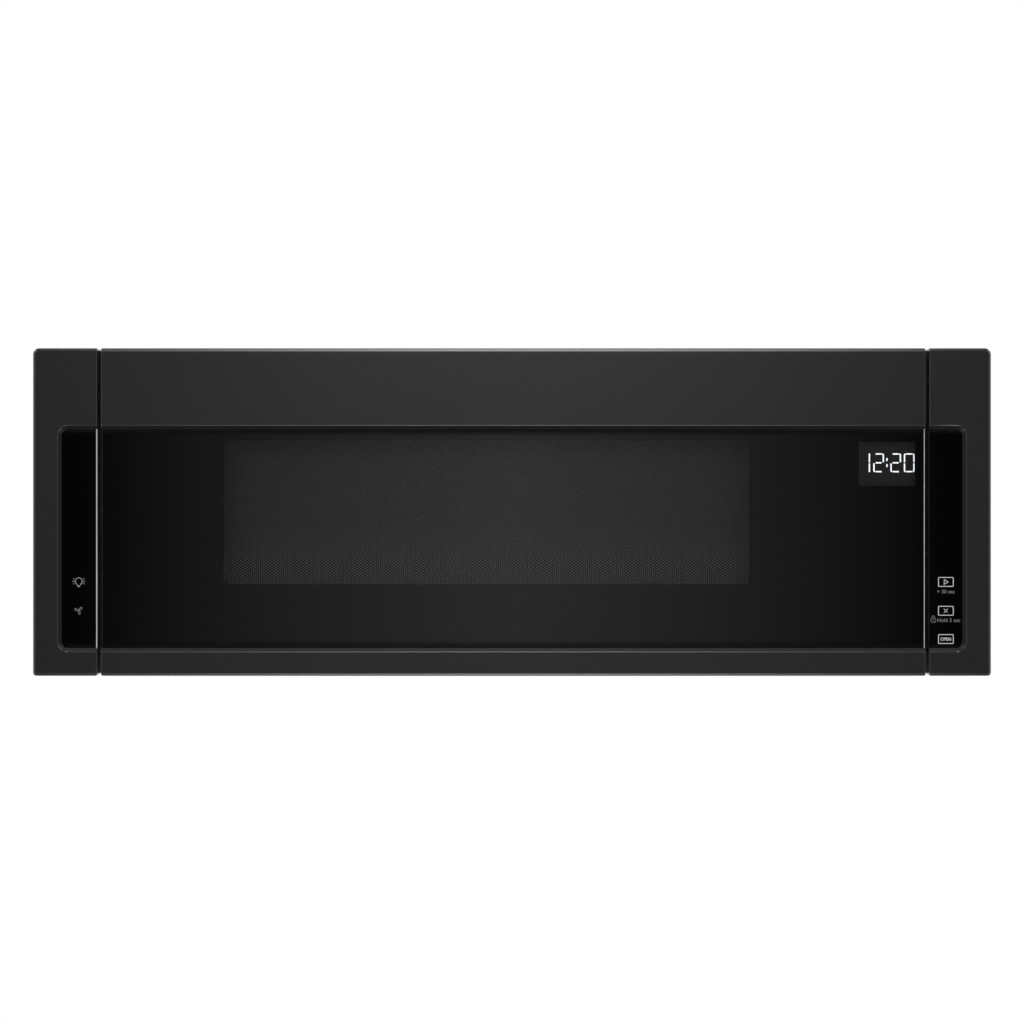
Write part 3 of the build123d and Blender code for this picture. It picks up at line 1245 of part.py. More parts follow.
# ---- the underside: grease filters and cooktop lamps ----------------------------------------
FILTER_MID = (FILTER_Z[0] + FILTER_Z[1]) / 2
for side, hole_x in (("left", mirrored(FILTER_HOLE_X)), ("right", FILTER_HOLE_X)):
    rim_x = grown(hole_x, -FILTER_GAP)
    rim_y = grown(FILTER_HOLE_Y, -FILTER_GAP)
    with BuildPart() as grease_filter:
        with BuildSketch(level(FILTER_Z[0])):
            panel(rim_x, rim_y, 3)
            panel(grown(rim_x, -9), grown(rim_y, -9), 2, mode=Mode.SUBTRACT)
        extrude(amount=FILTER_Z[1] - FILTER_Z[0])
        # the mesh pad, held in the channel of the rim
        with BuildSketch(level(FILTER_MID - 2.5)):
            panel(grown(rim_x, -8), grown(rim_y, -8))
        extrude(amount=5)
        with BuildSketch(across(hole_x[0] - SHEET)):
            with Locations((FILTER_HINGE_Y, FILTER_MID)):
                Circle(FILTER_PIN)
        extrude(amount=hole_x[1] - hole_x[0] + 2 * SHEET)
        # a finger loop at the front edge
        with BuildSketch(level(FILTER_Z[0])):
            with Locations((sum(hole_x) / 2, rim_y[0] + 16)):
                SlotOverall(40, 18)
                SlotOverall(32, 10, mode=Mode.SUBTRACT)
        extrude(amount=2.5)
    save(grease_filter.part, f"grease_filter_{side}")

with BuildPart() as lamp_lenses:
    for lens_x in both_sides(LENS_X):
        with BuildSketch(level(0)):
            panel(grown(lens_x, -0.3), grown(LENS_Y, -0.3), 3.7)
        extrude(amount=SHEET)
        with BuildSketch(level(SHEET)):
            panel(grown(lens_x, 3), grown(LENS_Y, 3), 5)
        extrude(amount=1.5)
save(lamp_lenses.part, "lamp_lenses")

with BuildPart() as cooktop_lamps:
    for lens_x in both_sides(LENS_X):
        with BuildSketch(level(SHEET + 1.5)):
            panel(grown(lens_x, 1), grown(LENS_Y, 1), 3)
            panel(grown(lens_x, -1.5), grown(LENS_Y, -1.5), 2, mode=Mode.SUBTRACT)
        extrude(amount=14)
        with BuildSketch(level(SHEET + 15.5)):
            panel(grown(lens_x, 1), grown(LENS_Y, 1), 3)
        extrude(amount=2)
        with BuildSketch(level(SHEET + 13.5)):
            with Locations((sum(lens_x) / 2, sum(LENS_Y) / 2)):
                with GridLocations(16, 0, 3, 1):
                    Rectangle(5, 5)
        extrude(amount=2)
save(cooktop_lamps.part, "cooktop_lamps")
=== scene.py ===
import math

import bmesh
import bpy
import numpy as np
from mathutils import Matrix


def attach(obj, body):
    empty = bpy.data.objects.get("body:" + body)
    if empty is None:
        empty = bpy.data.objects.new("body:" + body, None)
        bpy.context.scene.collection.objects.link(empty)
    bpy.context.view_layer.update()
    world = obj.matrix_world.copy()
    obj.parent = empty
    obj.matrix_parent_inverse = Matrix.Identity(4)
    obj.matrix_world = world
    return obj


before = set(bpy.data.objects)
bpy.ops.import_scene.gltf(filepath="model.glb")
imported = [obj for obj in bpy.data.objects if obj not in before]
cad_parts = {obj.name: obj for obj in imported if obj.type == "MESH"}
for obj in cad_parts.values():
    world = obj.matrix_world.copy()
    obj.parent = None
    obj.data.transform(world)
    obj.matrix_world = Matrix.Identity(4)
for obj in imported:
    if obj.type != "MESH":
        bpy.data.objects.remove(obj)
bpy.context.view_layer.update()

# The camera: straight in front of the appliance, level with the middle of its height, three
# metres from its face, with a long lens, as for a catalogue picture.
HALF_HEIGHT = 0.130  # of the appliance, in metres
scene = bpy.context.scene
scene.view_settings.view_transform = "Standard"
lens = bpy.data.cameras.new("camera")
lens.lens = 133.0
lens.sensor_width = 36.0
lens.clip_end = 80.0
camera = bpy.data.objects.new("camera", lens)
camera.location = (0.0, -3.238, HALF_HEIGHT)
camera.rotation_euler = (math.radians(90.0), 0.0, 0.0)
scene.collection.objects.link(camera)
scene.camera = camera


# The studio around it, white wherever the lens looks past the appliance. Polished faces see a
# dark front wall with one upright strip light that runs on overhead and underneath, a tall lamp
# on each side that is brighter at its ends, and white at the back. Matt faces see an even room.
class Wire:
    """One output of a node. Arithmetic on it adds a Math node: 1 - mask, a * b + c."""

    def __init__(self, finish, socket):
        self.finish = finish
        self.socket = socket

    def sum(self, operation, *values):
        """The Math node of that name on these values."""
        return self.finish.node("ShaderNodeMath", {"operation": operation}, dict(enumerate(values)))

    def __add__(self, other):
        return self.sum("ADD", self, other)

    def __radd__(self, other):
        return self.sum("ADD", other, self)

    def __sub__(self, other):
        return self.sum("SUBTRACT", self, other)

    def __rsub__(self, other):
        return self.sum("SUBTRACT", other, self)

    def __mul__(self, other):
        return self.sum("MULTIPLY", self, other)

    def __truediv__(self, other):
        return self.sum("DIVIDE", self, other)

    def __pow__(self, other):
        return self.sum("POWER", self, other)

    def __neg__(self):
        return self.sum("MULTIPLY", self, -1.0)

    def __abs__(self):
        return self.sum("ABSOLUTE", self)

    def only(self, operation):
        """A Math node on this value alone."""
        return self.sum(operation, self)

    def least(self, other):
        """The smaller of the two."""
        return self.sum("MINIMUM", self, other)

    def most(self, other):
        """The larger of the two."""
        return self.sum("MAXIMUM", self, other)

    def step(self, low, high, start=0.0, end=1.0):
        """Goes smoothly from start to end as the value goes from low to high."""
        return self.finish.node(
            "ShaderNodeMapRange",
            {"interpolation_type": "SMOOTHSTEP"},
            {"Value": self, "From Min": low, "From Max": high, "To Min": start, "To Max": end},
        )


class Finish:
    """A node tree with one method that adds a node, and the material that it belongs to."""

    def __init__(self, name, owner=None):
        self.owner = owner or bpy.data.materials.new(name)
        self.owner.use_nodes = True
        self.tree = self.owner.node_tree
        self.tree.nodes.clear()

    def node(self, kind, settings=None, inputs=None, output=0):
        """Adds a node with those settings and input values or wires, and returns one output."""
        made = self.tree.nodes.new(kind)
        for name, value in (settings or {}).items():
            setattr(made, name, value)
        for name, value in (inputs or {}).items():
            if isinstance(name, int):
                socket = made.inputs[name]
            else:
                socket = next(s for s in made.inputs if s.enabled and s.name == name)
            if isinstance(value, Wire):
                self.tree.links.new(value.socket, socket)
            elif isinstance(value, tuple) and len(value) == 3 and socket.type == "RGBA":
                socket.default_value = (*value, 1.0)
            else:
                socket.default_value = value
        if isinstance(output, int):
            return Wire(self, made.outputs[output])
        return Wire(self, next(s for s in made.outputs if s.enabled and s.name == output))

    def axes(self, coordinate="Object"):
        """The three coordinates of the point, as three wires, in metres on a piece."""
        place = self.node("ShaderNodeTexCoord", {}, {}, coordinate)
        return [self.node("ShaderNodeSeparateXYZ", {}, {0: place}, axis) for axis in "XYZ"]

    def cloud(self, lumps, stretch=(1.0, 1.0, 1.0), detail=2.0, roughness=0.5):
        """Noise from 0 to 1, with so many lumps to the metre, more along the axes of stretch."""
        place = self.node("ShaderNodeTexCoord", {}, {}, "Object")
        drawn = self.node("ShaderNodeMapping", {}, {"Vector": place, "Scale": stretch})
        sockets = {"Vector": drawn, "Scale": lumps, "Detail": detail, "Roughness": roughness}
        return self.node("ShaderNodeTexNoise", {}, sockets, "Fac")

    def cells(self, lumps, output="Distance", feature="F1", randomness=1.0):
        """Cells, so many to the metre: the distance to their middle or edge, or their colour."""
        place = self.node("ShaderNodeTexCoord", {}, {}, "Object")
        sockets = {"Vector": place, "Scale": lumps, "Randomness": randomness}
        return self.node("ShaderNodeTexVoronoi", {"feature": feature}, sockets, output)

    def between(self, factor, first, second):
        """The colour that goes from first to second with the factor."""
        sockets = {"Factor": factor, "A": first, "B": second}
        return self.node("ShaderNodeMix", {"data_type": "RGBA"}, sockets, "Result")

    def relief(self, height, metres, under=None):
        """The normal of a surface raised by height times so many metres."""
        sockets = {"Height": height, "Distance": metres, "Strength": 1.0}
        if under is not None:
            sockets["Normal"] = under
        return self.node("ShaderNodeBump", {}, sockets)

    def shader(self, **sockets):
        """The surface shader; a name is the socket's name with its spaces as underscores."""
        named = {name.replace("_", " "): value for name, value in sockets.items()}
        return self.node("ShaderNodeBsdfPrincipled", {}, named)

    def done(self, shader, output="ShaderNodeOutputMaterial"):
        """Ends the tree with that shader and returns the material."""
        self.tree.links.new(shader.socket, self.tree.nodes.new(output).inputs["Surface"])
        return self.owner


STRIP_REACH = 0.113  # sine of the angle at which the strip light ends on either side
studio = bpy.data.worlds.new("studio")
scene.world = studio
air = Finish("studio", studio)
sideways, backwards, upwards = air.axes("Generated")

strip = (1 - (abs(sideways) / STRIP_REACH) ** 1.2).most(0.0)
level_part = upwards.step(-0.060, -0.031, 0.12, 0.51)
overhead = upwards.step(0.10, 0.95, 0.0, 18.0) + upwards.step(0.035, 0.14, 0.0, 3.2)
underneath = (-upwards).step(0.20, 0.40, 0.0, 16.0)
gap_overhead = upwards.step(0.955, 0.99) * backwards.step(0.05, 0.25, 1.0, 0.0)
gap_underneath = (-upwards).step(0.80, 0.93)
strip_level = (level_part + underneath) * (1 - gap_underneath) + overhead * (1 - gap_overhead)
strip_light = strip * strip_level * backwards.step(0.22, 0.42, 1.0, 0.0)

wall = backwards.step(0.05, 0.55, 0.020, 1.0)
soft_ceiling = upwards.step(0.45, 0.95) * 0.1 + upwards.step(0.03, 0.14) * 0.12
tall_lamps = abs(sideways).step(0.42, 0.55) * backwards.step(-0.32, -0.16, 1.0, 0.0)
lamp_ends = abs(upwards).step(0.28, 0.45, 0.0, 9.0)
picture = wall + soft_ceiling + strip_light + tall_lamps * (2.6 + lamp_ends)

camera_ray, glossy_ray, through_ray = (
    air.node("ShaderNodeLightPath", {}, {}, f"Is {ray} Ray")
    for ray in ("Camera", "Glossy", "Transmission")
)
room = upwards.step(-0.6, 0.3, 0.25, 0.72)
looked_at = camera_ray.most(through_ray)
direct = room + looked_at * (1.0 - room)
level = direct * (1 - glossy_ray) + picture * glossy_ray
sky = air.node("ShaderNodeBackground", {}, {"Color": (1.0, 1.0, 1.0), "Strength": level})
air.done(sky, "ShaderNodeOutputWorld")


# Soft lamps: a large one high on the left, a fill on the right, one over the top and one behind.
# Only matt surfaces show their light; what mirrors shows the picture above.
for name, watts, size, place in (
    ("key_lamp", 78.0, 1.8, (-2.3, -2.6, 2.3)),
    ("fill_lamp", 40.0, 2.0, (2.7, -2.3, 1.1)),
    ("top_lamp", 32.0, 2.4, (0.0, 0.2, 3.1)),
    ("back_lamp", 50.0, 2.0, (0.8, 3.2, 1.6)),
):
    bulb = bpy.data.lights.new(name, "AREA")
    bulb.energy = watts
    bulb.size = size
    lamp = bpy.data.objects.new(name, bulb)
    lamp.location = place
    aim = np.array((0.0, 0.0, HALF_HEIGHT)) - np.array(place)
    lamp.rotation_euler = (
        math.acos(-aim[2] / np.linalg.norm(aim)),
        0.0,
        math.atan2(aim[1], aim[0]) - math.radians(90.0),
    )
    lamp.visible_camera = False
    lamp.visible_glossy = False
    lamp.visible_transmission = False
    scene.collection.objects.link(lamp)


# The floor: a pale round sheet far below, because this appliance hangs on a wall. It keeps the
# shadow, fades out at its rim, and is clear from below.
def grid_faces(rows, columns, around=False, along=False):
    """The four-sided faces of a grid of points, closed around its columns or along its rows."""
    row = np.arange(rows if along else rows - 1)[:, None]
    column = np.arange(columns if around else columns - 1)[None, :]
    next_row = (row + 1) % rows
    next_column = (column + 1) % columns
    corners = [
        row * columns + column,
        row * columns + next_column,
        next_row * columns + next_column,
        next_row * columns + column,
    ]
    spread = [np.broadcast_to(corner, (row.size, column.size)) for corner in corners]
    return np.stack(spread, -1).reshape(-1, 4)


def new_mesh(name, points, faces, smooth=True):
    """A mesh of those points, in metres, and faces."""
    mesh = bpy.data.meshes.new(name)
    points = np.asarray(points, float).reshape(-1, 3).tolist()
    mesh.from_pydata(points, [], [[int(corner) for corner in face] for face in faces])
    mesh.polygons.foreach_set("use_smooth", [smooth] * len(mesh.polygons))
    mesh.update()
    return bpy.data.objects.new(name, mesh)


FLOOR_HEIGHT = -1.9
FLOOR_RADIUS = 11.5
FLOOR_RINGS = np.linspace(0.02, FLOOR_RADIUS, 24)
FLOOR_ANGLES = np.arange(96) * math.tau / 96
radius, angle = np.meshgrid(FLOOR_RINGS, FLOOR_ANGLES, indexing="ij")
height = np.full_like(radius, FLOOR_HEIGHT)
floor = new_mesh(
    "floor",
    np.stack([radius * np.cos(angle), radius * np.sin(angle), height], -1),
    grid_faces(*radius.shape, around=True)[:, ::-1],
)
floor.visible_glossy = False
scene.collection.objects.link(floor)
sheet = Finish("floor_sheet")
east, north, _ = sheet.axes()
from_middle = (east * east + north * north) ** 0.5
paper = 0.80 + sheet.cloud(3.0) * 0.02
tint = sheet.node("ShaderNodeCombineColor", {}, {0: paper, 1: paper, 2: paper})
matt = sheet.node("ShaderNodeBsdfDiffuse", {}, {"Color": tint})
glow = sheet.node("ShaderNodeEmission", {}, {"Color": (1.0, 1.0, 1.0), "Strength": 1.0})
clear = sheet.node("ShaderNodeBsdfTransparent")
lit = sheet.node("ShaderNodeMixShader", {}, {0: 0.45, 1: matt, 2: glow})
below = sheet.node("ShaderNodeNewGeometry", {}, {}, "Backfacing")
gone = from_middle.step(4.0, FLOOR_RADIUS - 0.3).most(below)
faded = sheet.node("ShaderNodeMixShader", {}, {0: gone, 1: lit, 2: clear})
floor.data.materials.append(sheet.done(faded))


# Column frames: pressed stainless steel, brushed from side to side and coated black. Their
# bevelled openings hold the glass strips.
def dress(finish, *nodes):
    """Gives each of those CAD nodes that finish."""
    for node in nodes:
        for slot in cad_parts[node].material_slots:
            slot.material = finish


def black_steel(name):
    """Black-coated steel with fine side-to-side brush lines, a little uneven in tone and gloss."""
    steel = Finish(name)
    lines = steel.cloud(1.0, (6.0, 400.0, 2600.0), detail=3.0)
    patches = steel.cloud(9.0, detail=1.0)
    tone = steel.between(
        lines * 0.7 + patches * 0.3, (0.0117, 0.0117, 0.0118), (0.0145, 0.0145, 0.0146))
    gloss = 0.148 + patches * 0.016
    return steel.done(steel.shader(
        Base_Color=tone, Roughness=gloss, IOR=1.35, Anisotropic=0.5, Anisotropic_Rotation=0.25,
        Normal=steel.relief(lines, 0.000002),
    ))


dress(black_steel("black_steel"), "left_column_frame", "right_column_frame", "door_frame")


# Column glass: toughened strips bonded into the frames, printed solid black on the back. Their
# right-hand edge is painted pale and matt, a painted highlight that shows as a pale line.
def toned(grey, blue=1.0):
    """A grey colour, a little blue or warm."""
    return (grey, grey, grey * blue)


def black_print(glass, highlight_edge):
    """Clean black glass over its print, with faint smears in the gloss. To the right of the
    highlight edge it is pale and matt, a painted highlight, and under the lip of the bevels its
    reflection is dimmed, a painted shade."""
    x, _, z = glass.axes()
    smears = glass.cloud(12.0, (1.0, 1.0, 0.5), detail=3.0)
    clean = glass.shader(
        Base_Color=glass.between(smears, toned(0.0004, 1.1), toned(0.0007, 1.1)),
        Roughness=smears.step(0.45, 0.80, 0.010, 0.028), IOR=1.5)
    # Painted shade: near the top and bottom bevels the glass gets a dimmer, duller reflection.
    shade_dimmed = glass.shader(
        Base_Color=glass.between(smears, toned(0.0007), toned(0.0010)), Roughness=0.5, IOR=1.12)
    lip_shade = z.step(0.1895, 0.1955).most(z.step(0.0225, 0.0295, 0.75, 0.0))
    face = glass.node("ShaderNodeMixShader", {}, {0: lip_shade, 1: clean, 2: shade_dimmed})
    # Painted highlight: a pale matt strip right of the edge stands in for light caught from the
    # right.
    grit = glass.cloud(2500.0)
    painted_highlight = glass.shader(
        Base_Color=glass.between(grit, toned(0.46), toned(0.60)), Roughness=0.55,
        Normal=glass.relief(grit, 0.00002))
    past_edge = x.step(highlight_edge - 0.00004, highlight_edge)
    return glass.node("ShaderNodeMixShader", {}, {0: past_edge, 1: face, 2: painted_highlight})


DOOR_HIGHLIGHT_EDGE, COLUMN_HIGHLIGHT_EDGE = 0.3270, -0.3300  # where the painted highlights on the edges of the two panes start
NO_HIGHLIGHT_EDGE = 0.9  # right of everything: the right column's own edge is out of sight
for side, highlight_edge in (("left", COLUMN_HIGHLIGHT_EDGE), ("right", NO_HIGHLIGHT_EDGE)):
    strip_glass = Finish(f"{side}_column_glass")
    dress(strip_glass.done(black_print(strip_glass, highlight_edge)), f"{side}_column_glass")


# Key marks: ink screen-printed on the glass in three greys. A lamp and a fan on the left; on
# the right three outlined keys for start, cancel and open, two of them with a dim caption.
def as_piece(name, points, faces, finish, body, slot):
    """A closed piece of the object, its faces turned outwards, riding on a body."""
    piece = new_mesh(name, points, faces, smooth=False)
    shape = bmesh.new()
    shape.from_mesh(piece.data)
    bmesh.ops.remove_doubles(shape, verts=shape.verts, dist=0.0000001)
    bmesh.ops.recalc_face_normals(shape, faces=shape.faces)
    shape.to_mesh(piece.data)
    shape.free()
    piece.data.materials.append(finish)
    scene.collection.objects.link(piece)
    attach(piece, body)


def joined(shapes):
    """Several (points, faces) as one."""
    starts = np.cumsum([0] + [len(points) for points, _ in shapes[:-1]])
    faces = [
        [start + corner for corner in face]
        for start, (_, block) in zip(starts, shapes) for face in block
    ]
    return np.concatenate([points for points, _ in shapes]), faces


INK_FRONT, INK_THICK = -0.23507, 0.00006  # it stands out 0.07 mm from the glass


def stroke(path, width, front, closed=False):
    """A flat line in the plane of the glass along (x, z) points in millimetres. Each point goes
    out to both sides along the bisector of its two runs, by half the width over the cosine of
    half the turn, and the line is as thick as ink from its front backwards."""
    path = np.asarray(path, float) / 1000
    before, after = np.roll(path, 1, 0), np.roll(path, -1, 0)
    if not closed:
        before[0], after[-1] = 2 * path[0] - path[1], 2 * path[-1] - path[-2]
    runs = [
        (b - a) / np.linalg.norm(b - a, axis=1, keepdims=True)
        for a, b in ((before, path), (path, after))
    ]
    sides = [np.stack([-run[:, 1], run[:, 0]], 1) for run in runs]
    bisector = sides[0] + sides[1]
    bisector /= np.linalg.norm(bisector, axis=1, keepdims=True)
    reach = width / 2000 / np.maximum((bisector * sides[0]).sum(1, keepdims=True), 0.4)
    left, right = path - bisector * reach, path + bisector * reach
    edges = np.stack([left, right, right, left], 1)
    back = front + INK_THICK
    depth = np.broadcast_to(np.array([front, front, back, back]), edges.shape[:2])
    points = np.stack([edges[..., 0], depth, edges[..., 1]], -1).reshape(-1, 3)
    faces = grid_faces(len(path), 4, around=True, along=closed).tolist()
    if not closed:
        faces += [[0, 1, 2, 3], [len(points) - 4 + k for k in (3, 2, 1, 0)]]
    return points, faces


def arc(centre, radius, start, end, steps):
    """Points on an arc, in millimetres, between two angles in degrees."""
    angle = np.radians(np.linspace(start, end, steps))
    return np.stack([centre[0] + radius * np.cos(angle), centre[1] + radius * np.sin(angle)], 1)


def key_outline(x, z, wide, high, corner):
    """The middle line of a rectangle with rounded corners."""
    quarter = [(1, 1, 0), (-1, 1, 90), (-1, -1, 180), (1, -1, 270)]
    return np.concatenate([
        arc((x + i * (wide / 2 - corner), z + k * (high / 2 - corner)), corner, turn, turn + 90, 5)
        for i, k, turn in quarter
    ])


def ink(name, grey):
    """Screen-printed ink of that grey, slightly uneven."""
    print_ink = Finish(name)
    grain = print_ink.cloud(1800.0)
    tone = print_ink.between(grain, toned(grey * 0.92, 1.01), toned(grey * 1.06, 1.01))
    return print_ink.done(print_ink.shader(
        Base_Color=tone, Roughness=0.42, Normal=print_ink.relief(grain, 0.000004)))


bright_ink = ink("bright_ink", 0.42)
middle_ink = ink("middle_ink", 0.18)
dim_ink = ink("dim_ink", 0.10)

LAMP_X, LAMP_Z = -343.9, 75.0
FAN_X, FAN_Z = -343.9, 51.9
bulb_line = np.concatenate([
    [(LAMP_X + 1.1, 72.0)], arc((LAMP_X, LAMP_Z), 2.7, -38, 218, 25), [(LAMP_X - 1.1, 72.0)]])
lamp_lines = [
    stroke(bulb_line, 0.55, INK_FRONT),
    stroke([(LAMP_X - 1.1, 71.1), (LAMP_X + 1.1, 71.1)], 1.1, INK_FRONT),
]
for side in (-1, 1):
    ray = [(LAMP_X + side * 3.3, LAMP_Z), (LAMP_X + side * 5.0, LAMP_Z)]
    lamp_lines.append(stroke(ray, 0.5, INK_FRONT))
for side in (-1, 1):
    for up in (-1, 1):
        dot = [(side * 3.65, up * 1.75), (side * 4.25, up * 2.25)]
        lamp_lines.append(stroke(np.array(dot) + (LAMP_X, LAMP_Z), 0.65, INK_FRONT))
as_piece("lamp_mark", *joined(lamp_lines), middle_ink, "chassis", "column_glass")

vane = np.array([(0.30, 0.0), (1.2, 0.75), (2.5, 1.05), (3.25, 0.55), (3.0, -0.35), (1.5, -0.55)])
vanes = []
for turn in np.radians((36.0, 156.0, 276.0)):
    cosine, sine = math.cos(turn), math.sin(turn)
    spun = vane @ np.array([(cosine, sine), (-sine, cosine)])
    vanes.append(stroke(spun + (FAN_X, FAN_Z), 0.34, INK_FRONT, closed=True))
as_piece("fan_mark", *joined(vanes), middle_ink, "chassis", "column_glass")
hub = stroke(arc((FAN_X, FAN_Z), 0.22, 0, 324, 10), 0.4, INK_FRONT, closed=True)
as_piece("fan_hub_mark", *hub, bright_ink, "chassis", "column_glass")

KEY_X = 344.4
triangle = [(343.05, 76.4), (343.05, 72.6), (346.3, 74.5)]
falling, rising = [(342.8, 53.2), (345.9, 50.1)], [(342.8, 50.1), (345.9, 53.2)]
for name, z, marks, closed in (
    ("start_key", 74.5, [triangle], True),
    ("cancel_key", 51.6, [falling, rising], False),
    ("open_key", 29.15, [], False),
):
    lines = [stroke(key_outline(KEY_X, z, 11.75, 7.05, 0.5), 0.58, INK_FRONT, closed=True)]
    lines += [stroke(path, 0.46, INK_FRONT, closed=closed) for path in marks]
    as_piece(name, *joined(lines), bright_ink, "chassis", "column_glass")

PADLOCK_X = 334.4
shackle = np.concatenate([
    [(PADLOCK_X - 1.2, 45.9)], arc((PADLOCK_X, 46.5), 1.1, 180, 0, 9), [(PADLOCK_X + 1.2, 45.9)]])
padlock_lines = [
    stroke(key_outline(PADLOCK_X, 44.1, 3.8, 3.5, 1.4), 0.42, INK_FRONT, closed=True),
    stroke(shackle, 0.42, INK_FRONT),
    stroke([(PADLOCK_X, 43.4), (PADLOCK_X, 44.9)], 0.5, INK_FRONT),
]
as_piece("padlock_mark", *joined(padlock_lines), dim_ink, "chassis", "column_glass")


def lettering(name, words, across, up, weight, finish):
    """Plain generic lettering on the glass. Each of its points keeps its share of the way from
    one limit to the other, in x, in z and through the thickness of the ink."""
    text = bpy.data.curves.new(name, "FONT")
    text.body = words
    text.offset = weight
    text.extrude = 0.02
    text.resolution_u = 3
    flat = bpy.data.objects.new(name, text)
    shape = bpy.data.meshes.new_from_object(flat)
    place = np.empty(3 * len(shape.vertices), np.float32)
    shape.vertices.foreach_get("co", place)
    place = place.reshape(-1, 3).astype(float)
    low, high = place.min(0), place.max(0)
    fit = (place - low) / (high - low)
    points = np.stack([
        (across[0] + fit[:, 0] * (across[1] - across[0])) / 1000,
        INK_FRONT + INK_THICK * (1 - fit[:, 2]),
        (up[0] + fit[:, 1] * (up[1] - up[0])) / 1000,
    ], 1)
    faces = [list(face.vertices) for face in shape.polygons]
    bpy.data.objects.remove(flat)
    as_piece(name, points, faces, finish, "chassis", "column_glass")


lettering("open_word", "OPEN", (340.1, 348.5), (27.75, 30.45), 0.012, bright_ink)
lettering("start_caption", "+ 30 sec", (337.5, 351.3), (65.4, 68.4), 0.006, dim_ink)
lettering("lock_caption", "Hold 3 sec", (337.6, 355.8), (42.6, 45.7), 0.006, dim_ink)


# Door glass: one toughened pane bonded into the door frame, printed black all round the window
# and the clock. Where it is clear it is tinted, and its two faces both mirror a little.
def panel_mask(x, z, across, up, corner, painted_edge_light=0.0002):
    """1 inside a rectangle with rounded corners, 0 outside. The distance to it is the length of
    how far the point lies past the corner's middle each way, less the corner's radius."""
    past_x, past_z = (
        (abs(value - (low + high) / 2) - ((high - low) / 2 - corner)).most(0.0)
        for value, (low, high) in ((x, across), (z, up))
    )
    past = (past_x * past_x + past_z * past_z) ** 0.5
    return past.step(corner - painted_edge_light, corner + painted_edge_light, 1.0, 0.0)


WINDOW_X, WINDOW_Z = (-0.2296, 0.1891), (0.0726, 0.1873)
CLOCK_X, CLOCK_Z = (0.2753, 0.3205), (0.1505, 0.1860)
pane = Finish("front_glass")
x, _, z = pane.axes()
clear_part = panel_mask(x, z, WINDOW_X, WINDOW_Z, 0.003).most(
    panel_mask(x, z, CLOCK_X, CLOCK_Z, 0.0005))
haze = pane.cloud(9.0, detail=3.0)
tinted = pane.shader(
    Base_Color=pane.between(haze, (0.0008, 0.0009, 0.0010), (0.0016, 0.0017, 0.0018)),
    Roughness=haze.step(0.4, 0.8, 0.008, 0.024), IOR=1.96, Alpha=0.25,
)
printed = black_print(pane, DOOR_HIGHLIGHT_EDGE)
glazing = pane.node("ShaderNodeMixShader", {}, {0: clear_part, 1: printed, 2: tinted})
dress(pane.done(glazing), "door_glass")


# Clock: a dark plastic filter behind the glass, with white seven-segment figures that glow
# through it. The filter is painted lighter along its left and upper edges: painted light, as of
# stray light getting in.
FACE_FRONT = -0.2314
face = Finish("clock_face")
x, _, z = face.axes()
left_edge = x.step(CLOCK_X[0], CLOCK_X[0] + 0.004, 0.10, 0.0)
upper_edge = z.step(CLOCK_Z[1] - 0.003, CLOCK_Z[1], 0.0, 0.05)
# Painted light along the left and upper edges of the filter.
painted_edge_light = left_edge + upper_edge
weave = face.cloud(1500.0)
shade = face.between((painted_edge_light * 6.0 + weave * 0.1).least(1.0), toned(0.007), toned(0.020))
face_finish = face.done(face.shader(
    Base_Color=shade, Roughness=0.35, IOR=1.25, Normal=face.relief(weave, 0.000005)))
across, up = np.meshgrid(CLOCK_X, CLOCK_Z, indexing="ij")
front_corners = np.stack([across, np.full_like(across, FACE_FRONT), up], -1).reshape(-1, 3)
corners = np.concatenate([front_corners, front_corners + (0.0, 0.0002, 0.0)])
sides = [[0, 1, 3, 2], [4, 6, 7, 5], [0, 4, 5, 1], [1, 5, 7, 3], [3, 7, 6, 2], [2, 6, 4, 0]]
as_piece("clock_face", corners, sides, face_finish, "door", "display")

figure_glow = Finish("figure_glow")
even = figure_glow.cloud(260.0)
glowing = figure_glow.between(even, (0.82, 0.86, 1.0), (0.95, 0.96, 1.0))
figure_finish = figure_glow.done(figure_glow.shader(
    Base_Color=(0.7, 0.72, 0.75), Roughness=0.5, Emission_Color=glowing, Emission_Strength=0.92))

FIGURE_HIGH, FIGURE_WIDE, FIGURE_BASE = 15.1, 8.5, 161.55  # in millimetres
STROKE = 1.05
HALF = STROKE / 2
MIDDLE = FIGURE_HIGH / 2
TURN = 1.1  # the radius at a figure's corners
# One bent bar, with its mirror images, makes the uprights of a 2 and a 0.
upper_right = np.concatenate([
    arc((FIGURE_WIDE - HALF - TURN, FIGURE_HIGH - HALF - TURN), TURN, 80, 0, 6),
    [(FIGURE_WIDE - HALF, MIDDLE + 0.45)],
])
lower_left = np.array([(FIGURE_WIDE, FIGURE_HIGH)]) - upper_right
upper_left = upper_right * (-1, 1) + (FIGURE_WIDE, 0)
lower_right = lower_left * (-1, 1) + (FIGURE_WIDE, 0)
top, middle, bottom = (np.array([(1.9, z), (6.6, z)]) for z in (FIGURE_HIGH - HALF, MIDDLE, HALF))
two = [top, upper_right, middle, lower_left, bottom]
nought = [top, bottom, upper_left, upper_right, lower_left, lower_right]
one = [
    np.array([(HALF, 0.2), (HALF, MIDDLE - 0.35)]),
    np.array([(HALF, MIDDLE + 0.35), (HALF, FIGURE_HIGH - 0.2)]),
]
colon = [np.array([(HALF, low), (HALF + 0.2, low + 2.3)]) for low in (4.2, 9.0)]
for name, left, parts in (
    ("clock_1", 283.5, one), ("clock_2", 287.1, two), ("clock_3", 297.35, colon),
    ("clock_4", 300.7, two), ("clock_5", 311.4, nought),
):
    strokes = [stroke(part + (left, FIGURE_BASE), STROKE, FACE_FRONT - 0.0001) for part in parts]
    as_piece(name, *joined(strokes), figure_finish, "door", "display")

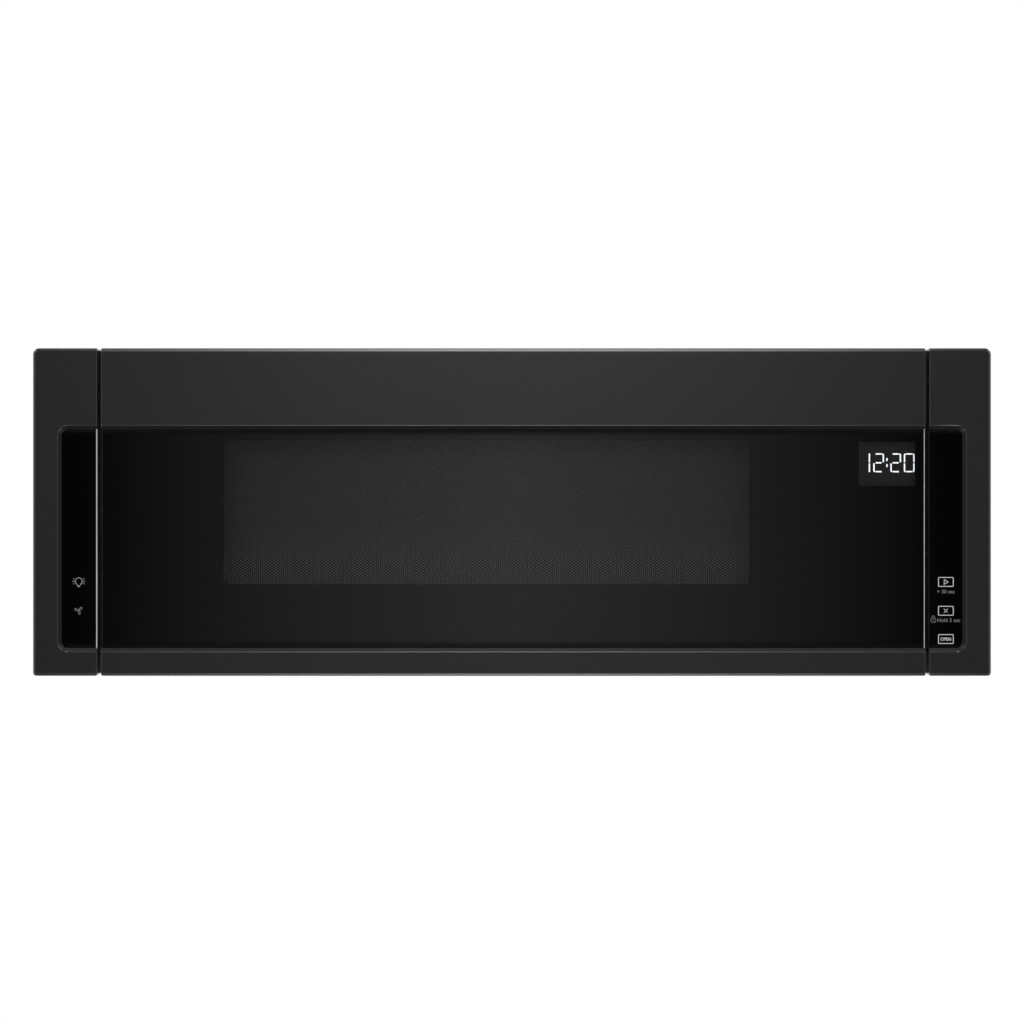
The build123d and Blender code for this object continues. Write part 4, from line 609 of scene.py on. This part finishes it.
filter_plastic = Finish("display")
grain = filter_plastic.cloud(700.0)
dress(filter_plastic.done(filter_plastic.shader(
    Base_Color=filter_plastic.between(grain, toned(0.016), toned(0.026)),
    Roughness=0.28 + grain * 0.1, Normal=filter_plastic.relief(grain, 0.00001))),
    "display_module")


# Perforated screen: thin black enamelled steel sheet, punched with fine round holes in staggered
# rows and spot-welded to the door panel. Each hole has a painted pale dot of light, brightest low
# down, where the steel between the holes is darker.
HOLE_PITCH_X = 0.0033
HOLE_PITCH_Z = 0.0022
HOLE_RADIUS = 0.00048
HOLE_FADE = 0.00006
screen = Finish("screen_steel")
x, _, z = screen.axes()


def to_nearest(value, pitch, shift):
    """How far a coordinate is from the nearest of a row of places a pitch apart."""
    return ((value / pitch + shift).only("FRACT") - 0.5) * pitch


rows = []
for shift in (0.0, 0.5):
    off_x = to_nearest(x, HOLE_PITCH_X, shift)
    off_z = to_nearest(z, HOLE_PITCH_Z, shift)
    rows.append((off_x * off_x + off_z * off_z) ** 0.5)
solid = rows[0].least(rows[1]).step(HOLE_RADIUS - HOLE_FADE, HOLE_RADIUS + HOLE_FADE)
cloudy = screen.cloud(60.0)
# Painted light: the holes get a pale dot, strongest low down, and the steel goes darker there.
light_low_down = z.step(0.070, 0.125, 1.0, 0.0) * 0.95 + cloudy * 0.05
steel_tone = screen.between(light_low_down, toned(0.027), toned(0.012))
hole_light_tone = screen.between(light_low_down, toned(0.027), toned(0.19))
dress(screen.done(screen.shader(
    Base_Color=screen.between(solid, hole_light_tone, steel_tone), Roughness=0.6, IOR=1.01,
    Alpha=0.9 + solid * 0.1, Normal=screen.relief(solid, 0.00005))), "perforated_screen")


# Inner pane: smoked glass that keeps grease off the screen, held all round by the choke cover,
# a black plastic moulding that clips into the door panel. The top grille is the same plastic.
smoked = Finish("smoked_pane")
wiped = smoked.cloud(10.0, detail=4.0)
dress(smoked.done(smoked.shader(
    Base_Color=smoked.between(wiped, (0.50, 0.52, 0.53), (0.56, 0.58, 0.59)),
    Roughness=wiped.step(0.5, 0.9, 0.02, 0.06), IOR=1.12, Transmission_Weight=1.0)),
    "inner_window")


def moulded(name, low, high, gloss=0.45, texture=0.00002):
    """Moulded plastic: fine spark-eroded texture, with slow changes of tone and gloss."""
    plastic = Finish(name)
    fine = plastic.cloud(900.0)
    slow = plastic.cloud(14.0)
    return plastic.done(plastic.shader(
        Base_Color=plastic.between(slow * 0.7 + fine * 0.3, low, high),
        Roughness=gloss + slow * 0.08, Normal=plastic.relief(fine, texture)))


dress(moulded("black_plastic", toned(0.016), toned(0.024)), "choke_cover", "vent_grille")


# Door panel and front plate: pressed steel sheets that close the door behind and the oven
# round its opening, fired in black enamel with a little orange peel.
def enamel(name, low, high, gloss=0.22, specks=0.0, speck_tone=None):
    """Fired enamel: glossy, softly rippled, with specks of another tone where they are asked."""
    coat = Finish(name)
    peel = coat.cloud(260.0, detail=1.0)
    slow = coat.cloud(7.0)
    tone = coat.between(slow, low, high)
    if specks:
        middles = coat.cells(380.0).step(0.10, 0.16, 1.0, 0.0)
        some = coat.cloud(130.0).step(0.50, 0.60)
        tone = coat.between(middles * some * specks, tone, speck_tone)
    return coat.done(coat.shader(
        Base_Color=tone, Roughness=gloss + peel * 0.06, Normal=coat.relief(peel, 0.00003),
        Coat_Weight=0.4, Coat_Roughness=0.12))


dress(enamel("door_enamel", toned(0.007), toned(0.011)), "door_panel", "front_plate")


# Hinges: brackets stamped from steel and screwed to the base pan, and arms welded to the door
# panel, all zinc-plated. They turn on ground steel pins.
def plated(name, low, high, gloss, stretch=(1.0, 1.0, 1.0), lumps=40.0):
    """Plated or bare sheet metal: cloudy tone, fine drawn lines along one direction."""
    metal = Finish(name)
    slow = metal.cloud(lumps, detail=3.0)
    lines = metal.cloud(900.0, stretch)
    return metal.done(metal.shader(
        Base_Color=metal.between(slow * 0.6 + lines * 0.4, low, high), Metallic=1.0,
        Roughness=gloss + slow * 0.12 - lines * 0.05, Normal=metal.relief(lines, 0.000004)))


dress(plated("hinge_steel", (0.46, 0.46, 0.44), (0.62, 0.61, 0.58), 0.32, (1, 0.1, 1)),
      "hinge_brackets", "door_hinge_arms")
dress(plated("pin_steel", toned(0.52), toned(0.66), 0.2, (0.06, 1, 1)), "hinge_pins")


# Latch: a pale nylon bar with two hooks that slides in the door, the release bar that lifts it,
# and three interlock switches in black cases, with red plungers, clipped behind the front plate.
dress(moulded("latch_plastic", (0.55, 0.55, 0.51), (0.64, 0.64, 0.60), 0.38),
      "latch_bar", "release_bar")
dress(moulded("switch_plastic", toned(0.022), toned(0.034), 0.42), "interlock_switches")
dress(moulded("plunger_plastic", (0.42, 0.035, 0.025), (0.55, 0.06, 0.045), 0.3),
      "switch_plungers")


# Chassis: folded sheet steel, screwed together. The sides, top and underside have a black powder
# coat; the back, the wall plate and the ducts are left galvanised, and the zinc's flakes show.
def powder(name, low, high, gloss, bumps):
    """Powder coat: a close, even orange peel."""
    coat = Finish(name)
    peel = coat.cloud(620.0, roughness=0.6)
    slow = coat.cloud(5.0)
    return coat.done(coat.shader(
        Base_Color=coat.between(slow * 0.6 + peel * 0.4, low, high), Roughness=gloss + peel * 0.12,
        Normal=coat.relief(peel, bumps)))


dress(powder("chassis_steel", toned(0.022, 1.03), toned(0.032, 1.03), 0.36, 0.00006),
      "base_pan", "top_panel")
dress(powder("side_paint", toned(0.022, 1.03), toned(0.030, 1.03), 0.40, 0.00009),
      "left_side_panel", "right_side_panel")

zinc = Finish("galvanised")
flake = zinc.cells(110.0, "Color")
shine = zinc.node("ShaderNodeSeparateColor", {}, {0: flake}, 0)
tarnish = zinc.cloud(6.0, detail=4.0)
zinc_tone = shine * 0.55 + tarnish * 0.45
dress(zinc.done(zinc.shader(
    Base_Color=zinc.between(zinc_tone, (0.40, 0.41, 0.43), (0.62, 0.64, 0.66)), Metallic=1.0,
    Roughness=0.34 + shine * 0.18, Normal=zinc.relief(shine, 0.00001))),
    "back_panel", "wall_plate", "waveguide", "duct_collar", "blower_housing", "damper_flap")


# Screws of the back panel: zinc-plated steel heads with a crossed recess, which hold it to the
# folded edges of the cabinet. Above the step they are nearly flat, so that they clear the wall.
RINGS = np.array([0.0, 0.18, 0.3, 0.42, 0.54, 0.66, 0.8, 0.92, 1.0])
SPOKES = 32
zinc_head = plated("zinc_head", (0.42, 0.42, 0.40), (0.58, 0.57, 0.54), 0.30)


def screw_heads(name, places, radius, rise):
    """Each head is a dome over a disc. Its height is the rise times the root of one less 0.85 of
    the square of the distance from the middle in radii, and a quarter of that in the cross."""
    out, angle = np.meshgrid(RINGS, np.arange(SPOKES) * math.tau / SPOKES, indexing="ij")
    height = rise * np.sqrt(1.0 - 0.85 * out ** 2)
    from_arms = np.minimum(abs(np.sin(angle)), abs(np.cos(angle))) * out
    height = np.where((from_arms < 0.11) & (out < 0.6), height * 0.25, height)
    out, angle, height = (
        np.concatenate([foot, grid[::-1]])
        for foot, grid in ((out[-1:], out), (angle[-1:], angle), (np.zeros((1, SPOKES)), height))
    )
    head = np.stack([radius * out * np.sin(angle), height, radius * out * np.cos(angle)], -1)
    head = head.reshape(-1, 3)
    points = (np.array(places)[:, None] + head).reshape(-1, 3)
    one = grid_faces(*height.shape, around=True)
    faces = (one + np.arange(len(places))[:, None, None] * len(head)).reshape(-1, 4)
    as_piece(name, points, faces, zinc_head, "chassis", "pin_steel")


STEP_Y, BACK_Y = 0.2258, 0.2378  # the back panel's face below and above its step
low_screws = [(x, STEP_Y, z) for x in (-0.365, -0.34, 0.34, 0.365) for z in (0.012, 0.106)]
high_screws = [(x, BACK_Y, z) for x in (-0.37, 0.37) for z in (0.13, 0.19, 0.25)]
screw_heads("back_screws", low_screws, 0.0036, 0.0018)
screw_heads("back_upper_screws", high_screws, 0.0034, 0.0002)


# Oven cavity: a spot-welded steel box in light grey enamel with fine dark specks. A leaf of mica
# is clipped over the waveguide's mouth, and the lamps sit in white plastic holders.
dress(enamel("cavity_enamel", toned(0.50, 0.97), toned(0.56, 0.97), 0.2, 0.7, toned(0.16)),
      "cavity_liner", "cavity_back")
mica = Finish("mica")
leaf = mica.cloud(55.0, (1, 1, 0.35), detail=5.0, roughness=0.65)
dress(mica.done(mica.shader(
    Base_Color=mica.between(leaf, (0.36, 0.31, 0.23), (0.58, 0.53, 0.43)),
    Roughness=0.24 + leaf * 0.2, Normal=mica.relief(leaf, 0.00005))), "waveguide_cover")
dress(moulded("lamp_housing", toned(0.42), toned(0.52), 0.4), "cavity_lamp", "cooktop_lamps")


# Turntable: a pressed glass plate that lies on a moulded coupler and runs on the three rollers
# of a loose plastic ring. The coupler is pushed on to the motor's shaft.
plate_glass = Finish("plate_glass")
flow = plate_glass.cloud(35.0)
dress(plate_glass.done(plate_glass.shader(
    Base_Color=plate_glass.between(flow, (0.90, 0.96, 0.94), (0.95, 0.985, 0.97)),
    Roughness=0.015 + flow * 0.03, IOR=1.5, Transmission_Weight=1.0,
    Normal=plate_glass.relief(flow, 0.00012))), "turntable_plate")
dress(moulded("coupler_plastic", (0.56, 0.56, 0.53), (0.66, 0.66, 0.63), 0.36),
      "turntable_coupler", "roller_ring", "roller_1", "roller_2", "roller_3")


# Electrics: the magnetron in its plated jacket, the transformer of varnished iron sheets round a
# copper winding, the capacitor's can, the steel-cased motors and the green circuit boards. All
# are screwed or clipped to the chassis beside the cavity.
dress(plated("magnetron_metal", toned(0.58), toned(0.70), 0.30, (1, 1, 8), 30.0), "magnetron")
COIL_X, COIL_Z = 0.305, 0.038
iron = Finish("transformer_iron")
x, y, z = iron.axes()
sheets = (y * 9000.0).only("SINE")
varnish = iron.cloud(70.0, detail=3.0)
within_x = abs(x - COIL_X).step(0.030, 0.031, 1.0, 0.0)
within_z = abs(z - COIL_Z).step(0.024, 0.025, 1.0, 0.0)
winding = within_x * within_z
iron_tone = iron.between(varnish, (0.10, 0.08, 0.065), (0.20, 0.17, 0.14))
copper_tone = iron.between(varnish, (0.40, 0.17, 0.08), (0.55, 0.25, 0.12))
dress(iron.done(iron.shader(
    Base_Color=iron.between(winding, iron_tone, copper_tone), Metallic=0.35 + winding * 0.4,
    Roughness=0.42, Normal=iron.relief(sheets, 0.00006))), "power_transformer")
dress(plated("capacitor_can", toned(0.60), toned(0.70), 0.26, (1, 1, 0.05), 20.0),
      "high_voltage_capacitor")
dress(plated("motor_steel", toned(0.42), toned(0.54), 0.36, (1, 1, 0.2), 60.0),
      "blower_motor", "cooling_fan_motor", "turntable_motor", "release_solenoid")
board = Finish("circuit_board")
edges = board.cells(210.0, feature="DISTANCE_TO_EDGE", randomness=0.35)
track = edges.step(0.05, 0.09, 1.0, 0.0)
mask_tone = board.between(track, (0.012, 0.075, 0.035), (0.030, 0.140, 0.065))
dress(board.done(board.shader(
    Base_Color=mask_tone, Roughness=0.3 + track * 0.1, Normal=board.relief(track, 0.00002))),
    "power_board", "left_touch_board", "right_touch_board")
dress(moulded("fan_plastic", toned(0.030), toned(0.045), 0.4), "cooling_fan")


# Vent: blower wheels of thin pressed aluminium, riveted to their shaft, and the charcoal filter,
# loose grains in a frame that slides in under the top grille. The cord's grommet is rubber.
dress(plated("wheel_metal", toned(0.52), toned(0.64), 0.30, (0.1, 1, 1), 35.0), "blower_wheels")
carbon = Finish("charcoal")
grains = carbon.cells(420.0)
# Painted shade: each grain is darker towards its rim, as in the gaps between grains.
dress(carbon.done(carbon.shader(
    Base_Color=carbon.between(grains, toned(0.030), toned(0.006)), Roughness=0.75 - grains * 0.3,
    Normal=carbon.relief(1 - grains, 0.0009))), "charcoal_filter")
dress(moulded("grommet_rubber", toned(0.012), toned(0.018), 0.6, 0.00001), "cord_grommet")


# Grease filters: layers of expanded aluminium mesh folded into a rim, with painted shade where it
# is deep.
# The outer layers are modelled strand by strand.
def expanded_mesh(across, along, height, pitch, strand, thick):
    """Strands side by side along y, each a zigzag that swings half a pitch to one side and back
    and rises and falls by 0.6 of its thickness a quarter of a swing before. Neighbours swing
    opposite ways, so that they meet and leave diamonds."""
    count = int((across[1] - across[0]) / pitch)
    steps = int((along[1] - along[0]) / (pitch / 2))
    number, step = np.meshgrid(np.arange(count), np.arange(steps), indexing="ij")
    opposite = 1 - 2 * (number % 2)
    swing = np.array([0.0, 1.0, 0.0, -1.0])[step % 4] * opposite * pitch / 2
    tilt = np.array([1.0, 0.0, -1.0, 0.0])[step % 4] * opposite * thick * 0.6
    x = across[0] + pitch * (number + 0.5) + swing
    y = along[0] + (along[1] - along[0]) * (step + 0.5) / steps
    corner_x = np.array([-1, 1, 1, -1]) * strand / 2
    corner_z = np.array([-1, -1, 1, 1]) * thick / 2
    points = np.stack(np.broadcast_arrays(
        x[..., None] + corner_x, y[..., None], height + corner_z + tilt[..., None]), -1)
    size = 4 * steps
    caps = [[0, 1, 2, 3], [size - 1, size - 2, size - 3, size - 4]]
    one = np.concatenate([grid_faces(steps, 4, around=True), caps])
    faces = one + np.arange(count)[:, None, None] * size
    return points.reshape(-1, 3), faces.reshape(-1, 4)


mesh_metal = plated("filter_strands", toned(0.55), toned(0.72), 0.26, lumps=120.0)
PAD_X, PAD_Y = (0.1215, 0.3285), (-0.0485, 0.0985)  # the mesh inside the rim, left or right
PAD_GAP = 0.0002
rim_metal = Finish("filter_mesh")
x, y, _ = rim_metal.axes()
pad = panel_mask(abs(x), y, PAD_X, PAD_Y, 0.002)
deep = rim_metal.cloud(420.0)
rolled = rim_metal.cloud(900.0, (0.1, 1, 1))
rim_tone = rim_metal.between(rolled, toned(0.58), toned(0.68))
# Painted shade: the mesh inside the rim is dark, as the shade deep between its layers.
depth_shade_tone = rim_metal.between(deep, toned(0.10), toned(0.34))
dress(rim_metal.done(rim_metal.shader(
    Base_Color=rim_metal.between(pad, rim_tone, depth_shade_tone), Metallic=1.0,
    Roughness=0.32 + deep * 0.12, Normal=rim_metal.relief(deep, 0.00004))),
    "grease_filter_left", "grease_filter_right")
for side, sign in (("left", -1), ("right", 1)):
    across = sorted((sign * (PAD_X[0] + PAD_GAP), sign * (PAD_X[1] - PAD_GAP)))
    along = (PAD_Y[0] + PAD_GAP, PAD_Y[1] - PAD_GAP)
    layers = [
        expanded_mesh(across, along, height, 0.0034, 0.0005, 0.00028)
        for height in (0.00155, 0.00745)
    ]
    as_piece(
        f"filter_strands_{side}", *joined(layers), mesh_metal, f"filter_{side}", "filter_mesh")


# Lamp lenses: frosted pressed glass with small prisms inside, which spreads the light over the
# range below. Each drops into its opening in the base pan.
lens_glass = Finish("lamp_lens")
x, y, _ = lens_glass.axes()
prisms = (x * 2100.0).only("SINE") * (y * 2100.0).only("SINE")
frost = lens_glass.cloud(900.0)
dress(lens_glass.done(lens_glass.shader(
    Base_Color=lens_glass.between(frost, toned(0.80), toned(0.90)),
    Roughness=0.3 + frost * 0.15, IOR=1.5, Transmission_Weight=0.7,
    Normal=lens_glass.relief(prisms, 0.0002))), "lamp_lenses")
